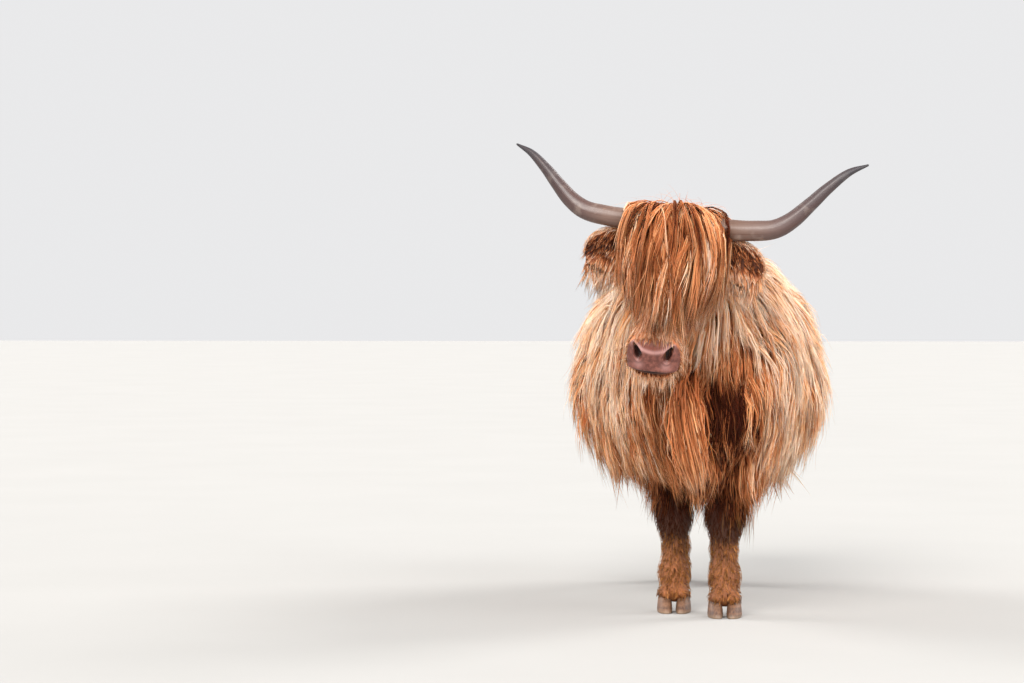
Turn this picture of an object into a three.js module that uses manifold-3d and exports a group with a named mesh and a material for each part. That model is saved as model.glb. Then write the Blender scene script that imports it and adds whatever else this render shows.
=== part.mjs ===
// A life-size standing highland cow, in millimetres: +Z up, facing -Y, with its left side at +X.
// Each solid is the outline of one part of the animal with its coat on. Parts meet face to face
// with a thin gap, and the whole stands on the flat soles of its eight claws.
import * as THREE from "three";
import { mergeVertices } from "three/addons/utils/BufferGeometryUtils.js";
import Module from "manifold-3d";

const wasm = await Module();
wasm.setup();

// ---- driving dimensions -------------------------------------------------------------------
const GAP = 0.4; // clear space kept between two parts that meet
const WITHERS = 1152; // top of the coat over the shoulders
const BACK = 1138; // top of the coat along the back
const HIPS = 1172; // top of the coat over the hip bones
const BELLY = 350; // lowest line of the belly coat
const BARREL_HALF = 432; // half of the widest place of the coat
const CHEST_FRONT = -300;
const RUMP_END = 1235;
const KNEE = 300;
const HOCK = 430;
const FETLOCK = 118;
const HEAD_LENGTH = 490; // poll to lips
const HEAD_PITCH = THREE.MathUtils.degToRad(61); // of the face below the horizontal
const HEAD_YAW = THREE.MathUtils.degToRad(-7); // muzzle towards the cow's right
const HEAD_ROLL = THREE.MathUtils.degToRad(6.4); // poll towards the cow's left
const POLL = new THREE.Vector3(-64, -420, 1196);
const EYE_RADIUS = 20;
const TAIL_END = 205;

// ---- solids -------------------------------------------------------------------------------
const onlyPlaces = (geometry) => {
  const bare = geometry.clone();
  for (const name of Object.keys(bare.attributes)) {
    if (name !== "position") bare.deleteAttribute(name);
  }
  return mergeVertices(bare, 1e-3);
};

// A closed geometry as a solid, without collapsed faces, facing out whichever way it was wound.
function solid(geometry) {
  const merged = onlyPlaces(geometry);
  const corners = merged.index.array;
  const kept = [];
  for (let i = 0; i < corners.length; i += 3) {
    const [a, b, c] = corners.slice(i, i + 3);
    if (a !== b && b !== c && c !== a) kept.push(a, b, c);
  }
  const triVerts = new Uint32Array(kept);
  const vertProperties = new Float32Array(merged.attributes.position.array);
  const made = new wasm.Manifold(new wasm.Mesh({ numProp: 3, vertProperties, triVerts }));
  if (made.volume() > 0) return made;
  for (let i = 0; i < triVerts.length; i += 3) {
    [triVerts[i + 1], triVerts[i + 2]] = [triVerts[i + 2], triVerts[i + 1]];
  }
  return new wasm.Manifold(new wasm.Mesh({ numProp: 3, vertProperties, triVerts }));
}

// The largest body of a solid, as an indexed geometry.
function geometryOf(made) {
  const bodies = made.decompose().sort((a, b) => b.volume() - a.volume());
  const mesh = bodies[0].getMesh();
  const places = new Float32Array(mesh.numVert * 3);
  for (let i = 0; i < mesh.numVert; i++) {
    places.set(mesh.vertProperties.subarray(i * mesh.numProp, i * mesh.numProp + 3), i * 3);
  }
  const geometry = new THREE.BufferGeometry();
  geometry.setAttribute("position", new THREE.BufferAttribute(places, 3));
  geometry.setIndex(new THREE.BufferAttribute(new Uint32Array(mesh.triVerts), 1));
  geometry.computeVertexNormals();
  return geometry;
}

// The same form with its surface moved out by a distance along its normals.
function grown(geometry, distance = GAP) {
  const larger = geometryOf(solid(geometry));
  const at = larger.attributes.position;
  const out = larger.attributes.normal;
  for (let i = 0; i < at.count; i++) {
    at.setXYZ(
      i,
      at.getX(i) + out.getX(i) * distance,
      at.getY(i) + out.getY(i) * distance,
      at.getZ(i) + out.getZ(i) * distance,
    );
  }
  return larger;
}

// A geometry less its neighbours, each grown by the gap first.
function cutBy(geometry, ...neighbours) {
  let made = solid(geometry);
  for (const neighbour of neighbours) made = made.subtract(solid(grown(neighbour)));
  return geometryOf(made);
}

// ---- lofts --------------------------------------------------------------------------------
// Both sizes of a superellipse: the power 2 is an ellipse, more is squarer, less is more pointed.
const bent = (value, power) => Math.sign(value) * Math.abs(value) ** (2 / power);

// A closed form along a smooth spine. A station is { at: [x, y, z], half, rise, drop, keel }:
// its half width, its reach towards and away from the rise direction, and the power of its
// lower half. Rings lie closer together towards the ends, which round over by endPower.
function loft(stations, riseTowards, { sides = 20, rings = 18, endPower = 7, relief } = {}) {
  const spine = new THREE.CatmullRomCurve3(stations.map((s) => new THREE.Vector3(...s.at)));
  const sizes = new THREE.CatmullRomCurve3(
    stations.map((s) => new THREE.Vector3(s.half, s.rise ?? s.half, s.drop ?? s.half)),
  );
  const keels = new THREE.CatmullRomCurve3(
    stations.map((s, i) => new THREE.Vector3(s.keel ?? 2, s.square ?? 2, i)),
  );
  const geometry = onlyPlaces(new THREE.SphereGeometry(1, sides, rings));
  const place = geometry.attributes.position;
  const towards = new THREE.Vector3(...riseTowards).normalize();
  for (let i = 0; i < place.count; i++) {
    const t = THREE.MathUtils.clamp((1 - place.getY(i)) / 2, 0, 1);
    const around = Math.atan2(place.getZ(i), place.getX(i));
    const closing = Math.sqrt(Math.max(0, 1 - Math.abs(2 * t - 1) ** endPower));
    const size = sizes.getPoint(t);
    const { x: keel, y: square } = keels.getPoint(t);
    const along = spine.getTangent(t);
    const rise = towards.clone().addScaledVector(along, -towards.dot(along)).normalize();
    const across = new THREE.Vector3().crossVectors(rise, along);
    const isLow = Math.sin(around) < 0;
    const power = isLow ? keel : square;
    const reach = isLow ? size.z : size.y;
    const extra = relief ? relief(t, around) : 0;
    const spot = spine
      .getPoint(t)
      .addScaledVector(across, bent(Math.cos(around), power) * (size.x + extra) * closing)
      .addScaledVector(rise, bent(Math.sin(around), power) * (reach + extra) * closing);
    place.setXYZ(i, spot.x, spot.y, spot.z);
  }
  return geometry;
}

const UP = [0, 0, 1];
const FORWARD = [0, -1, 0];

// ---- trunk and neck -----------------------------------------------------------------------
// A trunk station from its top, its bottom and the height of its widest place. The barrel bends
// a little towards the left.
const slice = (y, half, top, wide, bottom, keel = 2, square = 2.35) => ({
  at: [12 * Math.sin((Math.PI * y) / RUMP_END), y, wide],
  half,
  rise: top - wide,
  drop: wide - bottom,
  keel,
  square,
});

// Long locks stand out in soft ridges that run down the sides. Those of the left flank hang
// fuller than those of the right.
function lockRelief(t, around) {
  const ridges = 7 * Math.sin(t * 88) * Math.cos(around * 9 + t * 26);
  const isLeftFlank = Math.cos(around) < 0 && Math.sin(around) < 0;
  const fullness = isLeftFlank ? 48 * Math.abs(Math.sin(2 * around)) * Math.sin(Math.PI * t) : 0;
  return ridges + fullness;
}

const trunkForm = loft(
  [
    slice(CHEST_FRONT, 120, 890, 730, 520),
    slice(-225, 215, 1010, 735, 430),
    slice(-90, 290, WITHERS - 40, 730, 385),
    slice(80, 350, WITHERS, 715, 365, 2.2),
    slice(290, 410, WITHERS - 6, 690, BELLY + 14, 2.3),
    slice(510, BARREL_HALF, BACK, 680, BELLY, 2.5),
    slice(730, BARREL_HALF - 4, BACK + 8, 700, BELLY + 54, 2.4),
    slice(920, 372, HIPS, 760, 540, 2.2, 2.5),
    slice(1090, 306, HIPS - 12, 830, 680, 2.2, 2.5),
    slice(RUMP_END, 250, HIPS - 60, 860, 715),
  ],
  UP,
  { sides: 26, rings: 24, endPower: 12, relief: lockRelief },
);

const neckForm = loft(
  [
    { at: [0, 60, 880], half: 260, rise: 240, drop: 300 },
    { at: [-10, -130, 940], half: 238, rise: 205, drop: 340, keel: 1.7 },
    { at: [-38, -300, 1010], half: 190, rise: 175, drop: 310, keel: 1.8 },
    { at: [-60, -440, 1070], half: 150, rise: 130, drop: 210 },
  ],
  UP,
  { sides: 16, rings: 10 },
);

// The long lock of hair that hangs from the dewlap between the forelegs.
const dewlapForm = loft(
  [
    { at: [-50, -345, 770], half: 40, rise: 42 },
    { at: [-40, -372, 650], half: 52, rise: 52 },
    { at: [-24, -352, 530], half: 48, rise: 46 },
    { at: [-12, -312, 440], half: 40, rise: 36 },
    { at: [-6, -284, 372], half: 16, rise: 14 },
  ],
  FORWARD,
  { sides: 12, rings: 10, endPower: 6 },
);

// ---- head, in its own frame ---------------------------------------------------------------
// The origin is midway between the horns. The long axis runs from the poll down to the nose.
const LONG = new THREE.Vector3(0, -Math.cos(HEAD_PITCH), -Math.sin(HEAD_PITCH));
const FACE = new THREE.Vector3(0, -Math.sin(HEAD_PITCH), Math.cos(HEAD_PITCH));
const onHead = (along, out, side = 0) => [
  side,
  LONG.y * along + FACE.y * out,
  LONG.z * along + FACE.z * out,
];
const headSlice = (along, half, rise, drop, square = 2.2, keel = 2) => ({
  at: onHead(along, 0),
  half,
  rise,
  drop,
  square,
  keel,
});
const facing = FACE.toArray();

const skullForm = loft(
  [
    headSlice(-48, 78, 34, 60),
    headSlice(0, 118, 52, 92),
    headSlice(70, 126, 62, 120),
    headSlice(145, 122, 62, 138),
    headSlice(225, 104, 58, 142),
    headSlice(305, 84, 52, 112),
    headSlice(375, 76, 48, 84),
    headSlice(395, 76, 48, 80),
  ],
  facing,
  { sides: 16, rings: 11 },
);

// The muzzle ends in a flat nose pad that slants down and back to the lips.
const muzzleForm = loft(
  [
    headSlice(362, 62, 34, 32),
    headSlice(398, 78, 48, 44, 2.6, 2.2),
    headSlice(436, 86, 46, 50, 3.0, 2.8),
    { at: onHead(464, -16), half: 84, rise: 36, drop: 40, square: 3.2, keel: 3.0 },
    { at: onHead(HEAD_LENGTH - 2, -34), half: 66, rise: 20, drop: 26, square: 3.0, keel: 3.0 },
  ],
  facing,
  { sides: 16, rings: 9, endPower: 5 },
);

const jawForm = loft(
  [
    { at: onHead(316, -60), half: 44, rise: 26, drop: 46 },
    { at: onHead(376, -66), half: 56, rise: 30, drop: 38 },
    { at: onHead(440, -68), half: 62, rise: 30, drop: 40 },
    { at: onHead(HEAD_LENGTH - 12, -62), half: 52, rise: 26, drop: 38 },
  ],
  facing,
  { sides: 14, rings: 8 },
);

const sideName = (side) => (side > 0 ? "left" : "right");
const SIDES = [1, -1];

// A nostril is a slanted hollow at each upper corner of the nose pad.
function nostril(side) {
  const hollow = new THREE.SphereGeometry(1, 8, 6);
  hollow.scale(12, 22, 21);
  hollow.rotateY(side * 0.45);
  hollow.translate(...onHead(HEAD_LENGTH - 32, 29, side * 46));
  return hollow;
}

function eyeBall(side) {
  const ball = new THREE.SphereGeometry(EYE_RADIUS, 10, 8);
  ball.translate(...onHead(148, 20, side * 91));
  return ball;
}

// A horn leaves the poll level, bends up past its middle and eases outwards to the tip.
const HORNS = [
  { side: 1, reach: 530, climb: 226, forward: 55 },
  { side: -1, reach: 508, climb: 182, forward: 48 },
];
const HORN_PATH = [
  { out: 0.1, up: 0, girth: 31 },
  { out: 0.3, up: -0.02, girth: 30 },
  { out: 0.43, up: 0.0, girth: 29.5 },
  { out: 0.54, up: 0.05, girth: 28.5 },
  { out: 0.63, up: 0.19, girth: 25 },
  { out: 0.72, up: 0.42, girth: 20.5 },
  { out: 0.8, up: 0.64, girth: 16.5 },
  { out: 0.9, up: 0.87, girth: 11 },
  { out: 1.0, up: 1, girth: 4 },
];
const hornForm = ({ side, reach, climb, forward }) =>
  loft(
    HORN_PATH.map(({ out, up, girth }) => ({
      at: [side * reach * out, 22 - forward * Math.sin(Math.PI * out), climb * up],
      half: girth,
    })),
    FORWARD,
    { sides: 10, rings: 16, endPower: 14 },
  );

// An ear is a drooping leaf, hollow towards the front, with a fringe along its lower edge.
const earForm = (side) =>
  loft(
    [
      { at: [side * 92, 30, -76], half: 34, rise: 18, drop: 22 },
      { at: [side * 140, 16, -92], half: 58, rise: 16, drop: 24 },
      { at: [side * 195, 4, -110], half: 76, rise: 14, drop: 24 },
      { at: [side * 240, 2, -118], half: 68, rise: 13, drop: 20 },
      { at: [side * 280, 6, -118], half: 42, rise: 10, drop: 12 },
    ],
    FORWARD,
    { sides: 10, rings: 8, endPower: 4 },
  );
function earHollow(side) {
  const hollow = new THREE.SphereGeometry(1, 8, 6);
  hollow.scale(74, 16, 50);
  hollow.rotateY(side * 0.18);
  hollow.translate(side * 198, -14, -98);
  return hollow;
}

// The forelock falls from the poll over the forehead and the eyes to just above the nose.
const forelockForm = loft(
  [
    { at: onHead(-40, 12), half: 84, rise: 34, drop: 34 },
    { at: onHead(-8, 52), half: 138, rise: 40, drop: 62 },
    { at: onHead(60, 78), half: 154, rise: 36, drop: 80, square: 2.6 },
    { at: onHead(130, 82), half: 150, rise: 34, drop: 84, square: 2.6 },
    { at: onHead(210, 76), half: 134, rise: 30, drop: 70, square: 2.4 },
    { at: onHead(310, 66), half: 106, rise: 24, drop: 40 },
    { at: onHead(392, 52), half: 64, rise: 15, drop: 20 },
  ],
  facing,
  { sides: 16, rings: 10, endPower: 8 },
);

// ---- legs ---------------------------------------------------------------------------------
const LEGS = {
  left_fore: { x: 76, y: -40, side: 1, fore: true },
  right_fore: { x: -80, y: 95, side: -1, fore: true },
  left_hind: { x: 82, y: 985, side: 1, fore: false },
  right_hind: { x: -82, y: 1090, side: -1, fore: false },
};
const CLAW = { length: 112, width: 48, height: 70, apart: 27 };

const foreUpper = ({ x, y, side }) => [
  { at: [x + side * 44, y + 90, 640], half: 108, rise: 130, drop: 130 },
  { at: [x + side * 48, y + 74, 520], half: 114, rise: 120, drop: 120 },
  { at: [x + side * 40, y + 60, 420], half: 106, rise: 100, drop: 104 },
  { at: [x + side * 10, y + 50, KNEE + 20], half: 62, rise: 62, drop: 70 },
  { at: [x + side * 6, y + 50, KNEE - 20], half: 52, rise: 56, drop: 60 },
];
const hindUpper = ({ x, y, side }) => [
  { at: [x + side * 118, y - 10, 860], half: 120, rise: 200, drop: 170 },
  { at: [x + side * 122, y - 20, 720], half: 140, rise: 225, drop: 185 },
  { at: [x + side * 86, y, 580], half: 114, rise: 175, drop: 156 },
  { at: [x + side * 26, y + 52, 480], half: 70, rise: 86, drop: 88 },
  { at: [x + side * 4, y + 66, HOCK - 20], half: 54, rise: 60, drop: 64 },
];
const lowerLeg = ({ x, y, fore }) => {
  const joint = fore ? KNEE : HOCK;
  const back = fore ? 48 : 60;
  return [
    { at: [x, y + back, joint + 10], half: 54, rise: 58, drop: 62 },
    { at: [x, y + back, joint - 50], half: 50, rise: 54, drop: 54 },
    { at: [x, y + back - 2, joint * 0.62], half: 45, rise: 44, drop: 46 },
    { at: [x, y + back - 6, FETLOCK + 50], half: 45, rise: 44, drop: 48 },
    { at: [x, y + 38, FETLOCK], half: 49, rise: 48, drop: 58 },
    { at: [x, y + 16, 80], half: 50, rise: 50, drop: 52 },
    { at: [x, y + 4, 44], half: 54, rise: 52, drop: 52 },
  ];
};

// One claw: steep in front and low at the heel, cut off flat where it stands on the floor.
function clawForm({ x, y }, side) {
  const { length, width, height, apart } = CLAW;
  const horn = loft(
    [
      { at: [0, 0, -12], half: width / 2, rise: length * 0.56, drop: length * 0.44 },
      { at: [0, 2, height * 0.3], half: width / 2, rise: length * 0.48, drop: length * 0.42 },
      { at: [0, 8, height * 0.62], half: width * 0.46, rise: length * 0.36, drop: length * 0.34 },
      { at: [0, 14, height], half: width * 0.34, rise: length * 0.2, drop: length * 0.2 },
    ],
    FORWARD,
    { sides: 8, rings: 6, endPower: 9 },
  );
  const above = new THREE.BoxGeometry(4 * length, 4 * length, 2 * height);
  above.translate(0, 0, height);
  const claw = geometryOf(solid(horn).intersect(solid(above)));
  claw.rotateZ(side * -0.06);
  claw.translate(x + side * apart, y, 0);
  return claw;
}

// A dewclaw is a small horny knob behind the fetlock.
function dewclawForm({ x, y }, side) {
  const knob = new THREE.SphereGeometry(1, 6, 5);
  knob.scale(12, 15, 19);
  knob.rotateX(-0.5);
  knob.translate(x + side * 21, y + 82, FETLOCK - 26);
  return knob;
}

// ---- tail and udder -----------------------------------------------------------------------
const tailForm = loft(
  [
    { at: [0, RUMP_END - 130, 1090], half: 38 },
    { at: [0, RUMP_END - 36, 1076], half: 40 },
    { at: [0, RUMP_END + 14, 990], half: 36 },
    { at: [2, RUMP_END + 30, 860], half: 32 },
    { at: [4, RUMP_END + 34, 690], half: 33 },
    { at: [4, RUMP_END + 34, 650], half: 34 },
  ],
  [0, 0.6, 1],
  { sides: 8, rings: 10 },
);
const switchForm = loft(
  [
    { at: [4, RUMP_END + 34, 700], half: 30 },
    { at: [5, RUMP_END + 38, 590], half: 54, rise: 46 },
    { at: [6, RUMP_END + 38, 450], half: 66, rise: 52 },
    { at: [8, RUMP_END + 36, 320], half: 52, rise: 42 },
    { at: [8, RUMP_END + 34, TAIL_END], half: 16, rise: 14 },
  ],
  FORWARD,
  { sides: 10, rings: 9, endPower: 6 },
);
const udderForm = loft(
  [
    { at: [0, 760, 410], half: 60, rise: 60, drop: 30 },
    { at: [0, 850, 400], half: 84, rise: 90, drop: 48 },
    { at: [0, 925, 420], half: 56, rise: 80, drop: 44 },
  ],
  UP,
  { sides: 12, rings: 7, endPower: 4 },
);

// ---- materials ----------------------------------------------------------------------------
const finish = (color, roughness) =>
  new THREE.MeshStandardMaterial({ color, roughness, metalness: 0 });
const FINISH = {
  coat: finish(0xd9a47c, 0.75),
  redCoat: finish(0xb06a44, 0.75),
  forelock: finish(0xc07a52, 0.7),
  shortHair: finish(0xa0654a, 0.8),
  ear: finish(0x8a4a38, 0.8),
  nose: finish(0x94605a, 0.4),
  horn: finish(0x9c8c84, 0.45),
  claw: finish(0x5a463a, 0.55),
  eye: finish(0x1c100c, 0.1),
  udder: finish(0xc08c7c, 0.6),
};

// ---- assembly -----------------------------------------------------------------------------
const cow = new THREE.Group();
const head = new THREE.Group();
head.position.copy(POLL);
head.rotation.set(0, HEAD_ROLL, HEAD_YAW);
head.updateMatrix();
cow.add(head);

function addPart(parent, name, geometry, material) {
  const part = new THREE.Mesh(geometry, material);
  part.name = name;
  parent.add(part);
  return part;
}
const inBodyFrame = (geometry) => geometry.clone().applyMatrix4(head.matrix);

// Head parts, each cut by those that stand in front of it or are set into it.
const eyes = SIDES.map(eyeBall);
const nostrils = SIDES.map(nostril);
const horns = HORNS.map(hornForm);
const muzzle = cutBy(muzzleForm, ...nostrils);
const jaw = cutBy(jawForm, grown(muzzleForm, 3 * GAP));
const skull = cutBy(skullForm, muzzleForm, jawForm, ...eyes, ...horns);
const ears = SIDES.map((side) => cutBy(earForm(side), earHollow(side), skullForm));
const forelock = cutBy(forelockForm, skullForm, muzzleForm, ...eyes, ...horns, ...SIDES.map(earForm));
addPart(head, "head", skull, FINISH.coat);
addPart(head, "muzzle", muzzle, FINISH.nose);
addPart(head, "lower_jaw", jaw, FINISH.shortHair);
addPart(head, "forelock", forelock, FINISH.forelock);
SIDES.forEach((side, i) => {
  addPart(head, `${sideName(side)}_eye`, eyes[i], FINISH.eye);
  addPart(head, `${sideName(side)}_horn`, horns[i], FINISH.horn);
  addPart(head, `${sideName(side)}_ear`, ears[i], FINISH.ear);
});

// Neck and trunk.
const headForms = [skullForm, jawForm, forelockForm, ...SIDES.map(earForm), ...horns].map(inBodyFrame);
const neck = cutBy(neckForm, trunkForm, ...headForms);
const dewlap = cutBy(dewlapForm, trunkForm, neckForm, ...headForms);
const tail = cutBy(tailForm, trunkForm);
addPart(cow, "trunk", geometryOf(solid(trunkForm)), FINISH.coat);
addPart(cow, "neck", neck, FINISH.coat);
addPart(cow, "dewlap", dewlap, FINISH.redCoat);
addPart(cow, "tail", tail, FINISH.coat);

// Legs, each in an upper and a lower length, with two claws and two dewclaws.
const thighs = [];
for (const [name, leg] of Object.entries(LEGS)) {
  const upperForm = loft(leg.fore ? foreUpper(leg) : hindUpper(leg), FORWARD, { sides: 12, rings: 8 });
  const lowerForm = loft(lowerLeg(leg), FORWARD, { sides: 10, rings: 12, endPower: 12 });
  const claws = SIDES.map((side) => clawForm(leg, side));
  const dewclaws = SIDES.map((side) => dewclawForm(leg, side));
  const upper = cutBy(upperForm, trunkForm, lowerForm, ...thighs);
  addPart(cow, `${name}_upper`, upper, FINISH.redCoat);
  addPart(cow, `${name}_lower`, cutBy(lowerForm, trunkForm, ...claws, ...dewclaws), FINISH.shortHair);
  SIDES.forEach((side, i) => {
    const place = side === leg.side ? "outer" : "inner";
    addPart(cow, `${name}_${place}_claw`, claws[i], FINISH.claw);
    addPart(cow, `${name}_${place}_dewclaw`, dewclaws[i], FINISH.claw);
  });
  thighs.push(upperForm);
}
addPart(cow, "tail_switch", cutBy(switchForm, tailForm, trunkForm, ...thighs), FINISH.redCoat);
addPart(cow, "udder", cutBy(udderForm, trunkForm, ...thighs), FINISH.udder);

// The origin is on the floor under the middle of the whole cow.
const reach = new THREE.Box3().setFromObject(cow, true);
const middle = reach.getCenter(new THREE.Vector3());
cow.position.set(-middle.x, -middle.y, -reach.min.z);

export default cow;
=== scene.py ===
"""A life-size highland cow: one skin under a coat of long hair, with separate eyes, horns and hooves."""

import math

import bmesh
import bpy
import numpy as np
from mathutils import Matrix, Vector


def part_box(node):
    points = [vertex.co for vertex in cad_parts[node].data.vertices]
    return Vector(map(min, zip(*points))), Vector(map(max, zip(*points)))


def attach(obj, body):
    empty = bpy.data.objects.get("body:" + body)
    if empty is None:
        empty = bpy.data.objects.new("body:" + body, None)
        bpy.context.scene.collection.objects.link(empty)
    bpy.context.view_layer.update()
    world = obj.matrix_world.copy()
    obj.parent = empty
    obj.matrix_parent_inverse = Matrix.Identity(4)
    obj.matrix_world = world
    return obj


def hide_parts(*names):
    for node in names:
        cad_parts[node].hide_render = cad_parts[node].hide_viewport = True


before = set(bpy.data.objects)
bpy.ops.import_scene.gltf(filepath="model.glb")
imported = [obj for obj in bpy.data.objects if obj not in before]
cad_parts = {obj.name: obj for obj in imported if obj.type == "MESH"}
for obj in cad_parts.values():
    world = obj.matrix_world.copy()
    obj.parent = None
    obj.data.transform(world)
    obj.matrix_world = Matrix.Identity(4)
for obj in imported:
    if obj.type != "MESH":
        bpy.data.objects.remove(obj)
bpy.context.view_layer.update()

# ---- Where the body stands ------------------------------------------------------------------
# Every part below is placed in the cow's own measure: x to its left from the midline, y back
# from near the forefeet, z up from the floor. The claws of the left forefoot give that place.
FORE_FEET = {"left_fore": (0.076, -0.040), "right_fore": (-0.080, 0.095)}
HIND_FEET = {"left_hind": (0.082, 0.985), "right_hind": (-0.082, 1.090)}


def middle_of(*nodes):
    """The centre of the box round some CAD nodes."""
    corners = np.array([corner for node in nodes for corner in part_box(node)])
    return (corners.min(axis=0) + corners.max(axis=0)) / 2


hoof_middle = middle_of("left_fore_outer_claw", "left_fore_inner_claw")
SOLE_FORWARD = 0.0043  # the middle of a sole lies ahead of the point it was placed by
HOME = np.array([
    hoof_middle[0] - FORE_FEET["left_fore"][0],
    hoof_middle[1] - FORE_FEET["left_fore"][1] + SOLE_FORWARD,
    0.0,
])


def unit(vectors):
    """Vectors scaled to length one."""
    return vectors / np.maximum(np.linalg.norm(vectors, axis=-1, keepdims=True), 1e-9)


def eased(low, high, values):
    """0 below low, 1 above high, with a soft rise between."""
    share = np.clip((values - low) / (high - low), 0, 1)
    return share * share * (3 - 2 * share)


def hump(middle, width, values):
    """1 at the middle, and next to nothing two widths away from it."""
    return np.exp(-(((values - middle) / width) ** 2))


# ---- The head's own axes --------------------------------------------------------------------
# The head hangs from the poll, midway between the horns. Its long axis runs down to the nose, its
# face axis stands out of the forehead, and its side axis points to the cow's left.
HEAD_PITCH, HEAD_YAW, HEAD_ROLL = math.radians(61), math.radians(-7), math.radians(6.4)
POLL = HOME + (-0.064, -0.420, 1.196)
roll = np.array([
    [math.cos(HEAD_ROLL), 0, math.sin(HEAD_ROLL)],
    [0, 1, 0],
    [-math.sin(HEAD_ROLL), 0, math.cos(HEAD_ROLL)],
])
yaw = np.array([
    [math.cos(HEAD_YAW), -math.sin(HEAD_YAW), 0],
    [math.sin(HEAD_YAW), math.cos(HEAD_YAW), 0],
    [0, 0, 1],
])
turn = roll @ yaw
SIDE = turn @ (1, 0, 0)
LONG = turn @ (0, -math.cos(HEAD_PITCH), -math.sin(HEAD_PITCH))
FACE = turn @ (0, -math.sin(HEAD_PITCH), math.cos(HEAD_PITCH))
HEAD_AXES = np.array([SIDE, LONG, FACE])


def on_head(side, along, out):
    """A place on the head, from its own three axes."""
    return POLL + side * SIDE + along * LONG + out * FACE


def from_head(points):
    """Places as on_head takes them: to the side, down the face and out of the forehead."""
    return (points - POLL) @ HEAD_AXES.T


def level_on_head(x, y, z):
    """A place beside the head, measured level and upright before the head is turned and tilted."""
    return POLL + turn @ np.array([x, y, z])


# ---- The flesh ------------------------------------------------------------------------------
# The body is a smooth union of rounded forms: a barrel with ribs, shoulders and hips, a neck, a
# head with jaws and cheeks, and four jointed legs. Each form gives the distance to its surface.
FLESH = []


def flesh(shape, low, high, blend):
    """Adds a form that reaches no further than its box, blended into what is there."""
    room = 1.6 * blend + 0.02
    FLESH.append((np.minimum(low, high) - room, np.maximum(low, high) + room, shape, blend))


def joined(first, second, blend):
    """Two distances as one, with a fillet about as wide as blend."""
    mix = np.maximum(blend - np.abs(first - second), 0) / blend
    return np.minimum(first, second) - mix * mix * blend / 4


def carved(first, hollow, blend):
    """The first form less a hollow, with a soft lip."""
    return -joined(-first, hollow, blend)


def lump(centre, radii, axes=np.eye(3), blend=0.05):
    """A muscle or bone as an ellipsoid."""
    centre, radii = np.asarray(centre, float), np.asarray(radii, float)

    def shape(points):
        local = (points - centre) @ axes.T
        near = np.linalg.norm(local / radii, axis=1)
        steep = np.linalg.norm(local / radii**2, axis=1)
        return near * (near - 1) / np.maximum(steep, 1e-6)

    reach = np.max(radii)
    flesh(shape, centre - reach, centre + reach, blend)


def limb(start, end, start_radius, end_radius, blend=0.05):
    """A length of limb as a cone with round ends."""
    start, end = np.asarray(start, float), np.asarray(end, float)
    run = end - start

    def shape(points):
        local = points - start
        share = np.clip(local @ run / (run @ run), 0, 1)
        radius = start_radius + (end_radius - start_radius) * share
        return np.linalg.norm(local - share[:, None] * run, axis=1) - radius

    reach = max(start_radius, end_radius)
    flesh(shape, np.minimum(start, end) - reach, np.maximum(start, end) + reach, blend)


def smooth_profile(stations, places):
    """The columns of a station table at these places, on a smooth curve through the stations."""
    table = np.asarray(stations, float)
    knots, columns = table[:, 0], table[:, 1:]
    slopes = np.gradient(columns, knots, axis=0)
    places = np.clip(places, knots[0], knots[-1])
    cell = np.clip(np.searchsorted(knots, places) - 1, 0, len(knots) - 2)
    width = (knots[cell + 1] - knots[cell])[:, None]
    t = (places - knots[cell])[:, None] / width
    low, high = columns[cell], columns[cell + 1]
    low_slope, high_slope = slopes[cell] * width, slopes[cell + 1] * width
    return (
        low * (2 * t**3 - 3 * t**2 + 1) + low_slope * (t**3 - 2 * t**2 + t)
        + high * (3 * t**2 - 2 * t**3) + high_slope * (t**3 - t**2)
    )


def tapered_form(start, axes, stations, blend, round_end=0.05):
    """A long form along axes[1]. A station is place, half width, rise, drop, power of the curve."""
    knots = [station[0] for station in stations]

    def shape(points):
        side, along, out = ((points - start) @ axes.T).T
        half, rise, drop, power = smooth_profile(stations, along).T
        depth = np.where(out > 0, rise, drop)
        across = (np.abs(side / half) ** power + np.abs(out / depth) ** power) ** (1 / power)
        gap = (across - 1) * np.minimum(half, depth)
        beyond = np.maximum(knots[0] + round_end - along, along - knots[-1] + round_end)
        corner = np.hypot(np.maximum(gap + round_end, 0), np.maximum(beyond, 0))
        return np.where(beyond > 0, corner - round_end, gap)

    ends = np.array([start + knots[0] * axes[1], start + knots[-1] * axes[1]])
    reach = max(max(station[1:4]) for station in stations)
    flesh(shape, ends.min(axis=0) - reach, ends.max(axis=0) + reach, blend)


# The barrel: place back, half width, height above and depth below the widest line.
BARREL_LINE = 0.72
tapered_form(
    HOME + (0, 0, BARREL_LINE),
    np.array([(1, 0, 0), (0, 1, 0), (0, 0, 1)], float),
    [
        (-0.270, 0.090, 0.110, 0.130, 2.0),
        (-0.190, 0.165, 0.230, 0.190, 2.0),
        (-0.080, 0.222, 0.325, 0.238, 2.1),
        (0.080, 0.278, 0.380, 0.255, 2.2),
        (0.290, 0.338, 0.382, 0.268, 2.2),
        (0.510, 0.366, 0.372, 0.272, 2.3),
        (0.730, 0.360, 0.378, 0.245, 2.3),
        (0.920, 0.305, 0.402, 0.150, 2.3),
        (1.060, 0.250, 0.386, 0.080, 2.2),
        (1.175, 0.195, 0.340, 0.030, 2.2),
    ],
    blend=0.06,
)
for side in (1, -1):
    lump(HOME + (side * 0.16, 0.04, 0.88), (0.080, 0.13, 0.20), blend=0.07)  # shoulder blade
    lump(HOME + (side * 0.190, 0.86, 1.045), (0.055, 0.085, 0.040), blend=0.06)  # hip bone
    lump(HOME + (side * 0.100, 1.140, 0.985), (0.050, 0.045, 0.050), blend=0.05)  # pin bone
lump(HOME + (0, -0.170, 0.600), (0.095, 0.085, 0.110), blend=0.06)  # brisket

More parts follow.
